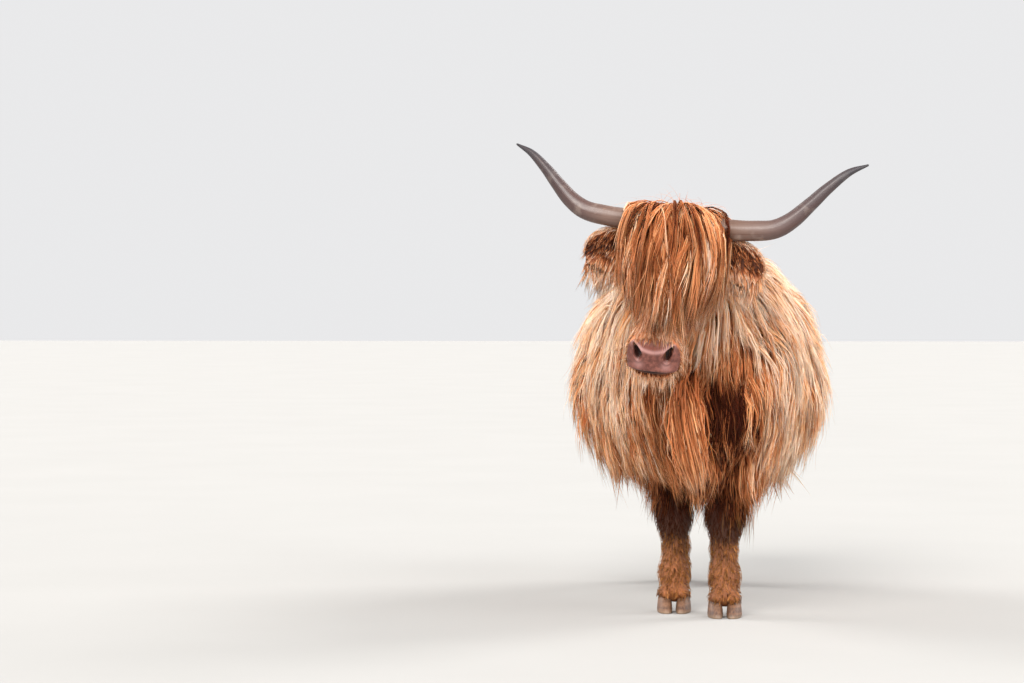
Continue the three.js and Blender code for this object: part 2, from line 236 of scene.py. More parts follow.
# The neck, deeper than wide, from the shoulders up to the poll.
NECK_FOOT, NECK_TOP = HOME + (0.0, 0.04, 0.885), HOME + (-0.056, -0.400, 1.050)
neck_run = unit(NECK_TOP - NECK_FOOT)
neck_side = unit(np.cross(neck_run, (0, 0, 1)))
NECK_LENGTH = float(np.linalg.norm(NECK_TOP - NECK_FOOT))
tapered_form(
    NECK_FOOT,
    np.array([neck_side, neck_run, np.cross(neck_side, neck_run)]),
    [
        (-0.050, 0.190, 0.205, 0.260, 2.0),
        (0.120, 0.172, 0.172, 0.262, 2.0),
        (0.290, 0.138, 0.128, 0.200, 2.0),
        (NECK_LENGTH + 0.02, 0.088, 0.082, 0.118, 2.0),
    ],
    blend=0.07,
)

# The skull narrows from the brow to the bridge of the nose and widens again at the muzzle.
tapered_form(
    POLL,
    HEAD_AXES,
    [
        (-0.045, 0.062, 0.022, 0.045, 2.2),
        (0.000, 0.094, 0.034, 0.080, 2.3),
        (0.070, 0.104, 0.046, 0.100, 2.4),
        (0.150, 0.096, 0.046, 0.100, 2.4),
        (0.230, 0.073, 0.044, 0.090, 2.3),
        (0.310, 0.060, 0.038, 0.066, 2.2),
        (0.380, 0.063, 0.036, 0.050, 2.4),
        (0.430, 0.077, 0.042, 0.046, 2.9),
        (0.465, 0.080, 0.040, 0.044, 3.3),
        (0.500, 0.074, 0.034, 0.040, 3.3),
    ],
    blend=0.05,
    round_end=0.03,
)
lump(on_head(0, -0.012, 0.004), (0.088, 0.034, 0.040), HEAD_AXES, blend=0.04)  # poll
EYE_PLACE = {name: middle_of(f"{name}_eye") for name in ("left", "right")}
# On each side of the head the lower jaw in two lengths, and the flesh in which the horn is rooted.
for side in (1, -1):
    limb(on_head(side * 0.074, 0.150, -0.104), on_head(side * 0.040, 0.350, -0.074), 0.040, 0.026, 0.03)
    limb(on_head(side * 0.040, 0.350, -0.074), on_head(side * 0.026, 0.452, -0.066), 0.026, 0.026, 0.02)
    lump(on_head(side * 0.072, 0.160, -0.062), (0.030, 0.080, 0.056), HEAD_AXES, blend=0.04)  # cheek
    lump(on_head(side * 0.078, 0.118, 0.036), (0.024, 0.036, 0.016), HEAD_AXES, blend=0.03)  # brow
    lump(on_head(side * 0.074, 0.190, -0.010), (0.018, 0.044, 0.014), HEAD_AXES, blend=0.03)  # cheekbone
    limb(on_head(side * 0.070, 0.012, -0.010), on_head(side * 0.118, 0.004, -0.008), 0.046, 0.034, 0.03)
lump(on_head(0, 0.448, -0.064), (0.046, 0.028, 0.018), HEAD_AXES, blend=0.02)  # chin and lower lip
lump(on_head(0, 0.474, -0.022), (0.058, 0.018, 0.012), HEAD_AXES, blend=0.02)  # upper lip

# The nose ends in a flat pad that slants down and back to the lips.
PAD_OUT = 0.806 * LONG + 0.592 * FACE
PAD_UP = np.cross(PAD_OUT, SIDE)
PAD_TOP = on_head(0, 0.440, 0.036)
NOSE_REACH = 0.13  # from the top of the pad to the last of the nose and the lips


def beyond_pad(points):
    """How far points lie in front of the nose pad, which is a little rounded across."""
    local = points - PAD_TOP
    return local @ PAD_OUT + 1.3 * (local @ SIDE) ** 2


def near_pad(points, reach):
    """Whether points lie within reach of the top of the nose pad."""
    return np.linalg.norm(points - PAD_TOP, axis=1) < reach


# Lids: a bulge round each eyeball, pressed in behind the ball where the slit opens. The eye looks
# sideways, a little forward and down along the face.
EYE_RADIUS = 0.0198
LID_DEPTH = 0.0034
SLIT_HALF, UPPER_ARCH, LOWER_ARCH = 0.0180, 0.0118, 0.0090  # half the slit's length, and its height
EYE_LOOK = {}
for name, side in (("left", 1), ("right", -1)):
    look = unit(side * 0.90 * SIDE + 0.08 * LONG + 0.40 * FACE)
    slit = unit(LONG - (LONG @ look) * look)
    EYE_LOOK[name] = np.array([slit, np.cross(look, slit) * side, look])
    lump(EYE_PLACE[name], np.full(3, EYE_RADIUS + LID_DEPTH), blend=0.020)


# Each ear is a drooping leaf of gristle, cupped towards the front, on a short round root.
EAR_LENGTH = 0.182
EAR_OUTLINE = ([0, 0.25, 0.5, 0.75, 0.93, 1.0], [0.028, 0.052, 0.064, 0.060, 0.040, 0.016])
EARS = {}
for name, side in (("left", 1), ("right", -1)):
    root = level_on_head(side * 0.092, 0.024, -0.064)
    along = unit(level_on_head(side * 0.266, 0.002, -0.106) - root)
    front = unit(level_on_head(side * 0.05, -1.0, -0.10) - POLL)
    front = unit(front - (front @ along) * along)
    EARS[name] = (root, along, np.cross(front, along) * side, front)
    limb(root - 0.02 * along, root + 0.035 * along, 0.032, 0.024, 0.03)


def ear_cup(across, share):
    """How far the leaf bends forward: across is a share of its half width, share one of its length."""
    return 0.020 * across**2 * (1 - 0.4 * share)


def ear_leaf(points, name, half_thickness):
    """The distance to one ear, from its own length, width and front axes."""
    root, along, up, front = EARS[name]
    local = points - root
    share = local @ along / EAR_LENGTH
    half = np.interp(share, *EAR_OUTLINE)
    width = local @ up + 0.012 * share
    cup = ear_cup(width / half, np.clip(share, 0, 1))
    edge = 0.9 * half_thickness
    gaps = edge + np.array([
        np.abs(local @ front - np.minimum(cup, 0.03)) - half_thickness,
        np.abs(width) - half,
        (np.abs(share - 0.5) - 0.5) * EAR_LENGTH,
    ])
    return np.linalg.norm(np.maximum(gaps, 0), axis=0) + np.minimum(gaps.max(axis=0), 0) - edge


# Four legs. The bones above the knee and the hock differ in front and behind, and below them the
# cannon bone, the fetlock, the pastern and the coronet are alike. Places are measured from the foot.
UPPER_LEGS = {  # start and end (out, back, up), the radius at each, and the blend
    "fore": [
        ((0.085, 0.050, 0.800), (0.058, 0.095, 0.600), 0.100, 0.080, 0.07),  # upper arm
        ((0.048, 0.085, 0.580), (0.004, 0.050, 0.325), 0.074, 0.044, 0.05),  # forearm
    ],
    "hind": [
        ((0.100, -0.050, 0.900), (0.120, -0.130, 0.680), 0.135, 0.100, 0.07),  # thigh
        ((0.120, -0.130, 0.680), (0.052, 0.010, 0.555), 0.098, 0.068, 0.06),  # below the stifle
        ((0.052, 0.010, 0.555), (0.000, 0.062, 0.430), 0.066, 0.038, 0.05),  # gaskin
        ((0.075, -0.010, 0.860), (0.055, 0.030, 0.640), 0.105, 0.076, 0.06),  # ham
        ((0.030, 0.085, 0.620), (0.000, 0.105, 0.475), 0.026, 0.019, 0.03),  # tendon above the hock
    ],
}
KNEES_AND_HOCKS = {  # place (out, back, up), radii, blend, then how far back and up the cannon starts
    "fore": ((0.000, 0.044, 0.298), (0.042, 0.043, 0.054), 0.05, 0.048, 0.300),
    "hind": ((0.000, 0.078, 0.440), (0.035, 0.045, 0.052), 0.04, 0.060, 0.430),
}


def by_foot(foot, side, place):
    """A place on a leg, from its foot: out to the leg's own side, back and up."""
    out, back, up = place
    return HOME + (foot[0] + side * out, foot[1] + back, up)


def below_joint(foot, back, up):
    """The bare-boned lower leg, alike in front and behind, from a cannon bone that starts back and up."""
    cannon_top = by_foot(foot, 1, (0, back, up - 0.03))
    limb(cannon_top, by_foot(foot, 1, (0, back - 0.006, 0.150)), 0.0370, 0.0350)
    lump(by_foot(foot, 1, (0, 0.038, 0.118)), (0.0400, 0.0405, 0.036), blend=0.04)
    limb(by_foot(foot, 1, (0, 0.030, 0.105)), by_foot(foot, 1, (0, 0.008, 0.070)), 0.0370, 0.0385, 0.03)
    for claw in (1, -1):
        lump(by_foot(foot, claw, (0.024, 0.000, 0.061)), (0.0235, 0.042, 0.020), blend=0.012)
        lump(by_foot(foot, claw, (0.022, 0.036, 0.050)), (0.0200, 0.018, 0.024), blend=0.012)


for name, foot in {**FORE_FEET, **HIND_FEET}.items():
    side = 1 if name.startswith("left") else -1
    end = name.split("_")[1]
    for start, stop, start_radius, stop_radius, blend in UPPER_LEGS[end]:
        limb(by_foot(foot, side, start), by_foot(foot, side, stop), start_radius, stop_radius, blend)
    joint, radii, blend, cannon_back, cannon_up = KNEES_AND_HOCKS[end]
    lump(by_foot(foot, side, joint), radii, blend=blend)
    below_joint(foot, cannon_back, cannon_up)

# The tail hangs from between the pin bones, and the udder lies between the thighs.
TAIL_BONES = [  # place and radius
    (0.000, 1.110, 1.055, 0.036),
    (0.000, 1.205, 1.040, 0.032),
    (0.000, 1.252, 0.965, 0.024),
    (0.002, 1.268, 0.830, 0.019),
    (0.004, 1.270, 0.660, 0.014),
    (0.005, 1.272, 0.520, 0.009),
]
for upper, lower in zip(TAIL_BONES, TAIL_BONES[1:]):
    limb(HOME + upper[:3], HOME + lower[:3], upper[3], lower[3], 0.03)
lump(HOME + (0, 0.845, 0.455), (0.090, 0.105, 0.065), blend=0.05)  # udder
for side in (1, -1):
    for back in (0.805, 0.885):  # teats
        limb(HOME + (side * 0.036, back, 0.410), HOME + (side * 0.040, back, 0.372), 0.012, 0.009, 0.012)


def body(points, ear_half=0.0042):
    """The distance from each point to the skin, less than nothing inside."""
    gap = np.full(len(points), 1.0)
    for low, high, shape, blend in FLESH:
        near = np.flatnonzero(np.all((points > low) & (points < high), axis=1))
        if len(near):
            gap[near] = joined(gap[near], shape(points[near]), blend)
    for name in EARS:
        near = np.flatnonzero(np.linalg.norm(points - EARS[name][0], axis=1) < EAR_LENGTH + 0.06)
        if len(near):
            gap[near] = joined(gap[near], ear_leaf(points[near], name, ear_half), 0.012)
    near = np.flatnonzero(near_pad(points, 0.12))
    if len(near):
        gap[near] = carved(gap[near], -beyond_pad(points[near]), 0.022)
    return gap


def steepest(points, **options):
    """The direction away from the skin and the change of distance along it."""
    reach = 0.0008
    corners = np.array([(1, -1, -1), (-1, -1, 1), (-1, 1, -1), (1, 1, 1)], float)
    slope = sum(
        corner * body(points + reach * corner, **options)[:, None] for corner in corners
    ) / (4 * reach)
    size = np.linalg.norm(slope, axis=1, keepdims=True)
    return slope / np.maximum(size, 1e-6), np.maximum(size[:, 0], 0.2)


def onto_skin(points, rounds, **options):
    """The points moved to the nearest skin."""
    for _ in range(rounds):
        away, rate = steepest(points, **options)
        step = np.clip(body(points, **options) / rate, -0.012, 0.012)
        points = points - away * step[:, None]
    return points


def within_nostril(points, side):
    """1 in the middle of a comma-shaped nostril, 0 on its rim and less outside it."""
    local = points - on_head(side * 0.046, 0.454, 0.025)
    across, up = (local @ SIDE) * side, local @ PAD_UP
    lean = math.radians(24)
    length = up * math.cos(lean) + across * math.sin(lean)
    width = across * math.cos(lean) - up * math.sin(lean) - 5.0 * length**2
    half = np.clip(0.0112 - 0.17 * length, 0.005, 0.0155)
    return 1 - np.hypot(width / half, length / 0.0275) - 9 * (beyond_pad(points) < -0.035)


def within_lids(points, name):
    """1 in the middle of the slit between the lids, 0 on their edge and less outside it."""
    along, up, out = ((points - EYE_PLACE[name]) @ EYE_LOOK[name].T).T
    arch = np.where(up > 0, UPPER_ARCH, LOWER_ARCH)
    tear_corner = 1 + 0.35 * eased(0.006, 0.022, along)
    return np.where(out > 0, 1 - np.hypot(along / SLIT_HALF / tear_corner, up * tear_corner / arch), -9)


def mouth_line(points):
    """How high each point is above the line between the lips, and whether it is as far forward."""
    side, along, out = from_head(points).T
    line = -0.031 - 0.026 * eased(0.475, 0.400, along) - 1.6 * side**2 * eased(0.40, 0.48, along)
    return out - line, eased(0.385, 0.412, along)


def with_features(points, away):
    """The skin's points with the nostrils, mouth, lids and their folds pressed in or raised."""
    points = points.copy()
    above, forward = mouth_line(points)
    lips = -0.0085 * hump(0, 0.0032, above) + 0.0022 * hump(0.010, 0.006, above)
    lips += 0.0016 * hump(-0.010, 0.006, above)
    points += away * (lips * forward)[:, None]
    for side in (1, -1):
        depth = within_nostril(points, side)
        reach = eased(-0.04, 0.56, depth)
        rim = 0.0028 * hump(-0.16, 0.16, depth) * (depth > -1)
        on_pad = near_pad(points, 0.11)
        points -= on_pad[:, None] * (0.022 * reach - rim)[:, None] * PAD_OUT
        points -= (on_pad * 0.006 * reach)[:, None] * side * SIDE
    for name in EYE_PLACE:
        depth = within_lids(points, name)
        proud = np.linalg.norm(points - EYE_PLACE[name], axis=1) - EYE_RADIUS + 0.0025
        pressed = np.maximum(proud, 0) * eased(0.0, 0.18, depth)
        edge = 0.0009 * hump(-0.08, 0.07, depth)
        crease = 0.0016 * hump(-0.42, 0.10, depth) + 0.0010 * hump(-0.80, 0.09, depth)
        points -= (pressed - edge + crease)[:, None] * EYE_LOOK[name][2]
    return points


# ---- The skin -------------------------------------------------------------------------------
# One closed hide over all the flesh, from a net of squares drawn through the zero of the
# distance. The head, the ears and the feet get a finer net than the barrel, which hair hides.
NET = 0.012


def netted(values, low, step):
    """Corners and squares of the surface where a block of distances passes through zero."""
    inside = values < 0
    cells = tuple(n - 1 for n in values.shape)
    offsets = [(i, j, k) for i in (0, 1) for j in (0, 1) for k in (0, 1)]
    corners_inside = [
        inside[i:i + cells[0], j:j + cells[1], k:k + cells[2]].astype(np.int8) for i, j, k in offsets
    ]
    count = sum(corners_inside)
    active = np.argwhere((count > 0) & (count < 8))
    number = np.full(cells, -1, np.int64)
    number[tuple(active.T)] = np.arange(len(active))
    total, crossings = np.zeros((len(active), 3)), np.zeros(len(active))
    for a in offsets:
        for b in offsets:
            if sum(b) - sum(a) != 1 or any(b[i] < a[i] for i in range(3)):
                continue
            first, second = values[tuple((active + a).T)], values[tuple((active + b).T)]
            crossed = (first < 0) != (second < 0)
            share = np.where(crossed, first / np.where(crossed, first - second, 1), 0)
            total += crossed[:, None] * (np.array(a) + share[:, None] * (np.array(b) - a))
            crossings += crossed
    corners = low + step * (active + total / crossings[:, None])
    squares = []
    for axis in range(3):
        one, two = (axis + 1) % 3, (axis + 2) % 3
        ahead = np.take(inside, range(1, values.shape[axis]), axis)
        behind = np.take(inside, range(0, values.shape[axis] - 1), axis)
        spots = np.argwhere(ahead != behind)
        spots = spots[(spots[:, one] > 0) & (spots[:, two] > 0)
                      & (spots[:, one] < cells[one]) & (spots[:, two] < cells[two])]
        step_one, step_two = np.eye(3, dtype=int)[one], np.eye(3, dtype=int)[two]
        ring = [spots - step_one - step_two, spots - step_two, spots, spots - step_one]
        found = np.stack([number[tuple(r.T)] for r in ring], axis=1)
        turned = behind[tuple(spots.T)]
        found[~turned] = found[~turned][:, ::-1]
        squares.append(found)
    return corners, np.concatenate(squares)


COARSE_EAR = 0.010  # half the thickness of an ear that the coarse net can't miss
block_low = HOME + (-0.50, -0.76, -0.024)
block_high = HOME + (0.50, 1.36, 1.34)
counts = np.ceil((block_high - block_low) / NET).astype(int)
lattice = np.stack(np.meshgrid(*[np.arange(n) for n in counts], indexing="ij"), axis=-1)
lattice = (block_low + NET * lattice).reshape(-1, 3)
coarse = body(lattice, ear_half=COARSE_EAR).reshape(counts)
net_corners, net_squares = netted(coarse, block_low, NET)
net_corners = onto_skin(net_corners, 2, ear_half=COARSE_EAR)

skin_mesh = bpy.data.meshes.new("skin")
skin_mesh.from_pydata(net_corners.tolist(), [], net_squares.tolist())
hide = bmesh.new()
hide.from_mesh(skin_mesh)


def refine(wanted):
    """Halves the edges of the squares whose middles are wanted."""
    middles = np.array([face.calc_center_median() for face in hide.faces])
    chosen = wanted(middles)
    edges = {edge for face, take in zip(hide.faces, chosen) if take for edge in face.edges}
    bmesh.ops.subdivide_edges(hide, edges=list(edges), cuts=1, use_grid_fill=True)


def on_head_or_feet(points):
    """Where the net is halved once."""
    side, along, out = from_head(points).T
    return (points[:, 2] < 0.17) | ((along > -0.06) & (np.abs(side) < 0.2) & (out > -0.15) & (along < 0.6))


def on_ears_or_face(points):
    """Where the net is halved again."""
    side, along, out = from_head(points).T
    ears = np.min([
        np.linalg.norm(points - root - 0.6 * EAR_LENGTH * run, axis=1) for root, run, *_ in EARS.values()
    ], axis=0)
    mouth = (along > 0.39) & (np.abs(side) < 0.12) & (np.abs(out) < 0.13)
    return (ears < 0.080) | on_nose_or_eyes(points) | mouth


def on_nose_or_eyes(points):
    """Where the net is halved a third time."""
    side, along, out = from_head(points).T
    eyes = np.min([np.linalg.norm(points - p, axis=1) for p in EYE_PLACE.values()], axis=0)
    return (eyes < 0.030) | ((along > 0.445) & (np.abs(side) < 0.085) & (out > -0.075) & (out < 0.06))


for wanted in (on_head_or_feet, on_ears_or_face, on_nose_or_eyes):
    refine(wanted)
bmesh.ops.triangulate(hide, faces=[face for face in hide.faces if len(face.verts) > 4])
corners = np.array([vert.co for vert in hide.verts])
corners = onto_skin(corners, 5)
corners = with_features(corners, steepest(corners)[0])
for vert, place in zip(hide.verts, corners):
    vert.co = place
bmesh.ops.recalc_face_normals(hide, faces=hide.faces)
hide.to_mesh(skin_mesh)
hide.free()
skin_mesh.shade_smooth()
skin = bpy.data.objects.new("skin", skin_mesh)
bpy.context.collection.objects.link(skin)
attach(skin, "root")
SEPARATE = ("_eye", "_horn", "claw", "forelock", "dewlap", "tail_switch")
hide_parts(*[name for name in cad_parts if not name.endswith(SEPARATE)])

# ---- The finish of skin and hair ------------------------------------------------------------
# Skin and coat share one marking, from 0 for blond to 1 for dark red, so that the colours of the
# hide run on into the hair over it.
class Tone:
    """One output of a node, so that shader maths reads as plain sums."""

    def __init__(self, socket):
        self.socket = socket

    def joined_with(self, operation, other, swapped=False):
        tree = self.socket.id_data
        maths = tree.nodes.new("ShaderNodeMath")
        maths.operation = operation
        for place, value in zip((1, 0) if swapped else (0, 1), (self, other)):
            if isinstance(value, Tone):
                tree.links.new(value.socket, maths.inputs[place])
            else:
                maths.inputs[place].default_value = value
        return Tone(maths.outputs[0])

    def __add__(self, other):
        return self.joined_with("ADD", other)

    def __sub__(self, other):
        return self.joined_with("SUBTRACT", other)

    def __rsub__(self, other):
        return self.joined_with("SUBTRACT", other, swapped=True)

    def __mul__(self, other):
        return self.joined_with("MULTIPLY", other)

    __radd__, __rmul__ = __add__, __mul__


class Nodes:
    """The nodes of a material or of a tree of geometry nodes."""

    def __init__(self, tree):
        self.tree = tree

    def node(self, kind, settings=None, sockets=None, out=0):
        """A node with its settings, then the values or links of its sockets."""
        made = self.tree.nodes.new(kind)
        for name, value in (settings or {}).items():
            if name == "ramp":
                while len(made.color_ramp.elements) < len(value):
                    made.color_ramp.elements.new(0.5)
                for element, (place, colour) in zip(made.color_ramp.elements, value):
                    element.position, element.color = place, (*linear(colour), 1)
            else:
                setattr(made, name, value)
        for name, value in (sockets or {}).items():
            if isinstance(value, Tone):
                self.tree.links.new(value.socket, made.inputs[name])
            else:
                made.inputs[name].default_value = value
        return Tone(made.outputs[out])

    def blend(self, share, first, second):
        """Two colours mixed. Each is a node's output or a colour as it is seen."""
        colours = [c if isinstance(c, Tone) else (*linear(c), 1) for c in (first, second)]
        sockets = {0: share, 6: colours[0], 7: colours[1]}  # the sockets of a Mix node for colours
        return self.node("ShaderNodeMix", {"data_type": "RGBA"}, sockets, out=2)

    def noise(self, where, scale, detail=3.0, roughness=0.5):
        sockets = {"Vector": where, "Scale": scale, "Detail": detail, "Roughness": roughness}
        return self.node("ShaderNodeTexNoise", None, sockets)

    def attribute(self, name):
        return self.node("ShaderNodeAttribute", {"attribute_name": name}, out=2)

    def place(self):
        """The place on the object, in metres."""
        return self.node("ShaderNodeTexCoord", out=3)

    def unwrapped(self, name):
        """The place on one of the object's flat maps."""
        return self.node("ShaderNodeUVMap", {"uv_map": name})

    def scaled(self, where, scale):
        return self.node("ShaderNodeMapping", None, {"Vector": where, "Scale": scale})

    def height(self, where):
        return self.node("ShaderNodeSeparateXYZ", None, {"Vector": where}, out=2)

    def within(self, low, high, value):
        """0 below low and 1 above high."""
        sockets = {"Value": value, "From Min": low, "From Max": high}
        return self.node("ShaderNodeMapRange", {"interpolation_type": "SMOOTHSTEP"}, sockets)


def linear(colour):
    """A colour as it is seen, from 0 to 255, as the light it sends back."""
    shares = np.array(colour, float) / 255
    return tuple(np.where(shares <= 0.04045, shares / 12.92, ((shares + 0.055) / 1.055) ** 2.4))


def finish(name, colour, roughness, bump=None, bump_depth=0.001, **fixed):
    """A material. Its colour, roughness and bump are made by functions of its nodes."""
    material = bpy.data.materials.new(name)
    material.use_nodes = True
    nodes = Nodes(material.node_tree)
    surface = material.node_tree.nodes["Principled BSDF"]
    links = {"Base Color": colour(nodes)}
    links["Roughness"] = roughness(nodes) if callable(roughness) else roughness
    if bump:
        sockets = {"Height": bump(nodes), "Distance": bump_depth, "Strength": 1.0}
        links["Normal"] = nodes.node("ShaderNodeBump", None, sockets)
    for socket, value in {**links, **fixed}.items():
        if isinstance(value, Tone):
            material.node_tree.links.new(value.socket, surface.inputs[socket])
        else:
            surface.inputs[socket].default_value = value
    return material


HAIR_COLOURS = [
    (0.00, (255, 218, 187)),
    (0.20, (255, 198, 156)),
    (0.40, (238, 156, 105)),
    (0.60, (202, 113, 68)),
    (0.80, (138, 72, 40)),
    (1.00, (58, 25, 14)),
]


def hair_colour(nodes, streak=None):
    """The colour of hair at its marking, patchy, streaked along each tuft, less red on the legs."""
    patches = nodes.noise(nodes.place(), 5.0)
    fleck = nodes.noise(nodes.place(), 60.0, 2.0)
    share = nodes.attribute("marking") + (patches - 0.5) * 0.26 + (fleck - 0.5) * 0.12
    if streak is not None:
        share = share + (streak - 0.5) * 0.30
    colour = nodes.node("ShaderNodeValToRGB", {"ramp": HAIR_COLOURS}, {"Fac": share})
    yellower = nodes.within(0.36, 0.22, nodes.height(nodes.place())) * 0.012 + 0.5
    return nodes.node("ShaderNodeHueSaturation", None, {"Color": colour, "Hue": yellower})


def streaks(nodes):
    """Fine hairs that run along a strand, from the strand's own map."""
    return nodes.noise(nodes.scaled(nodes.unwrapped("strand"), (7.0, 2.0, 1.0)), 1.0, 3.0, 0.6)


HAIR = finish(
    "long_hair",
    lambda nodes: hair_colour(nodes, streaks(nodes)),
    lambda nodes: 0.50 + 0.28 * streaks(nodes),
    bump=streaks,
    bump_depth=0.0012,
    **{
        "Subsurface Weight": 0.35,
        "Subsurface Radius": (1.0, 0.5, 0.3),
        "Subsurface Scale": 0.010,
        "Specular IOR Level": 0.04,
    },
)


def lying_hairs(nodes, fine):
    """Short fine hairs on the hide: down the sides, the legs and the face, and across the back."""
    where = nodes.place()
    down, across = (
        nodes.noise(nodes.scaled(where, stretch), fine, 3.0, 0.6)
        for stretch in ((1.0, 1.0, 0.10), (0.10, 1.0, 1.0))
    )
    on_top = nodes.attribute("top")
    return down * (1 - on_top) + across * on_top


def nose_beads(nodes):
    """The small beads of a moist nose, as the distance to the middle of the nearest one."""
    return nodes.node("ShaderNodeTexVoronoi", None, {"Vector": nodes.place(), "Scale": 420.0})


def skin_colour(nodes):
    """Hair-coloured hide darkened by painted shade under long hair and on the ears, with a bare pinkish nose
    that has a pale ridge and painted highlights below the nostrils, dark nostrils, lips and lid rims, with
    painted shade in the nostrils and along the mouth, and a soft udder.
    """
    mottle = nodes.noise(nodes.place(), 90.0, 4.0)
    pores = nose_beads(nodes)
    nose = nodes.blend(nodes.within(0.32, 0.70, mottle), (86, 46, 38), (121, 72, 61))
    nose = nodes.blend(0.35 * nodes.within(0.25, 0.0, pores), nose, (68, 36, 32))
    nose = nodes.blend(nodes.attribute("ruddy"), nose, (112, 54, 40))
    # A pale band along the ridge of the pad, and painted highlights below the nostrils.
    nose = nodes.blend(nodes.attribute("pale"), nose, (180, 134, 128))
    udder = nodes.blend(nodes.within(0.3, 0.7, mottle), (206, 150, 134), (186, 124, 108))
    hide = hair_colour(nodes, 1.6 * lying_hairs(nodes, 260.0) - 0.3)
    # Painted shade: dark brown under long hair and on the ears, so that the gaps between tufts read as
    # shadowed underfur.
    hide = nodes.blend(0.6 * nodes.attribute("deep"), hide, (84, 48, 30))
    hide = nodes.blend(nodes.attribute("bare"), hide, nose)
    hide = nodes.blend(nodes.attribute("udder"), hide, udder)
    # Near black on the nostrils, the lips and the lid rims: dark skin, with painted shade inside the nostrils
    # and along the line between the lips.
    return nodes.blend(nodes.attribute("dark"), hide, (38, 20, 17))


def skin_relief(nodes):
    """Short hairs that lie along the hide, and the fine beads of the nose."""
    bare = nodes.attribute("bare")
    return 2.0 * lying_hairs(nodes, 400.0) * (1 - bare) + (1 - nose_beads(nodes)) * bare * 0.8


def skin_roughness(nodes):
    """Dull hide, and a moist nose."""
    moist = nodes.noise(nodes.place(), 140.0, 3.0)
    return 0.72 - nodes.attribute("bare") * (0.30 + 0.14 * moist) - nodes.attribute("dark") * 0.10


SKIN = finish(
    "hide",
    skin_colour,
    skin_roughness,
    bump=skin_relief,
    bump_depth=0.0009,
    **{"Specular IOR Level": 0.4},
)
skin_mesh.materials.append(SKIN)

# ---- The lie of the coat --------------------------------------------------------------------
# Hair length, its depth off the skin, its colour and the way it lies change from zone to zone. A
# zone is a place and its reach, and every root takes a weighted mean of the zones round it.
def both_sides(table):
    """The zones of a table, each with its mirror image unless its row ends with False."""
    return [
        (np.array(place) * (side, 1, 1), np.array(reach), values, np.array(lie))
        for place, reach, *values, lie, mirrored in (row if len(row) == 8 else (*row, True) for row in table)
        for side in ((1, -1) if mirrored else (1,))
    ]


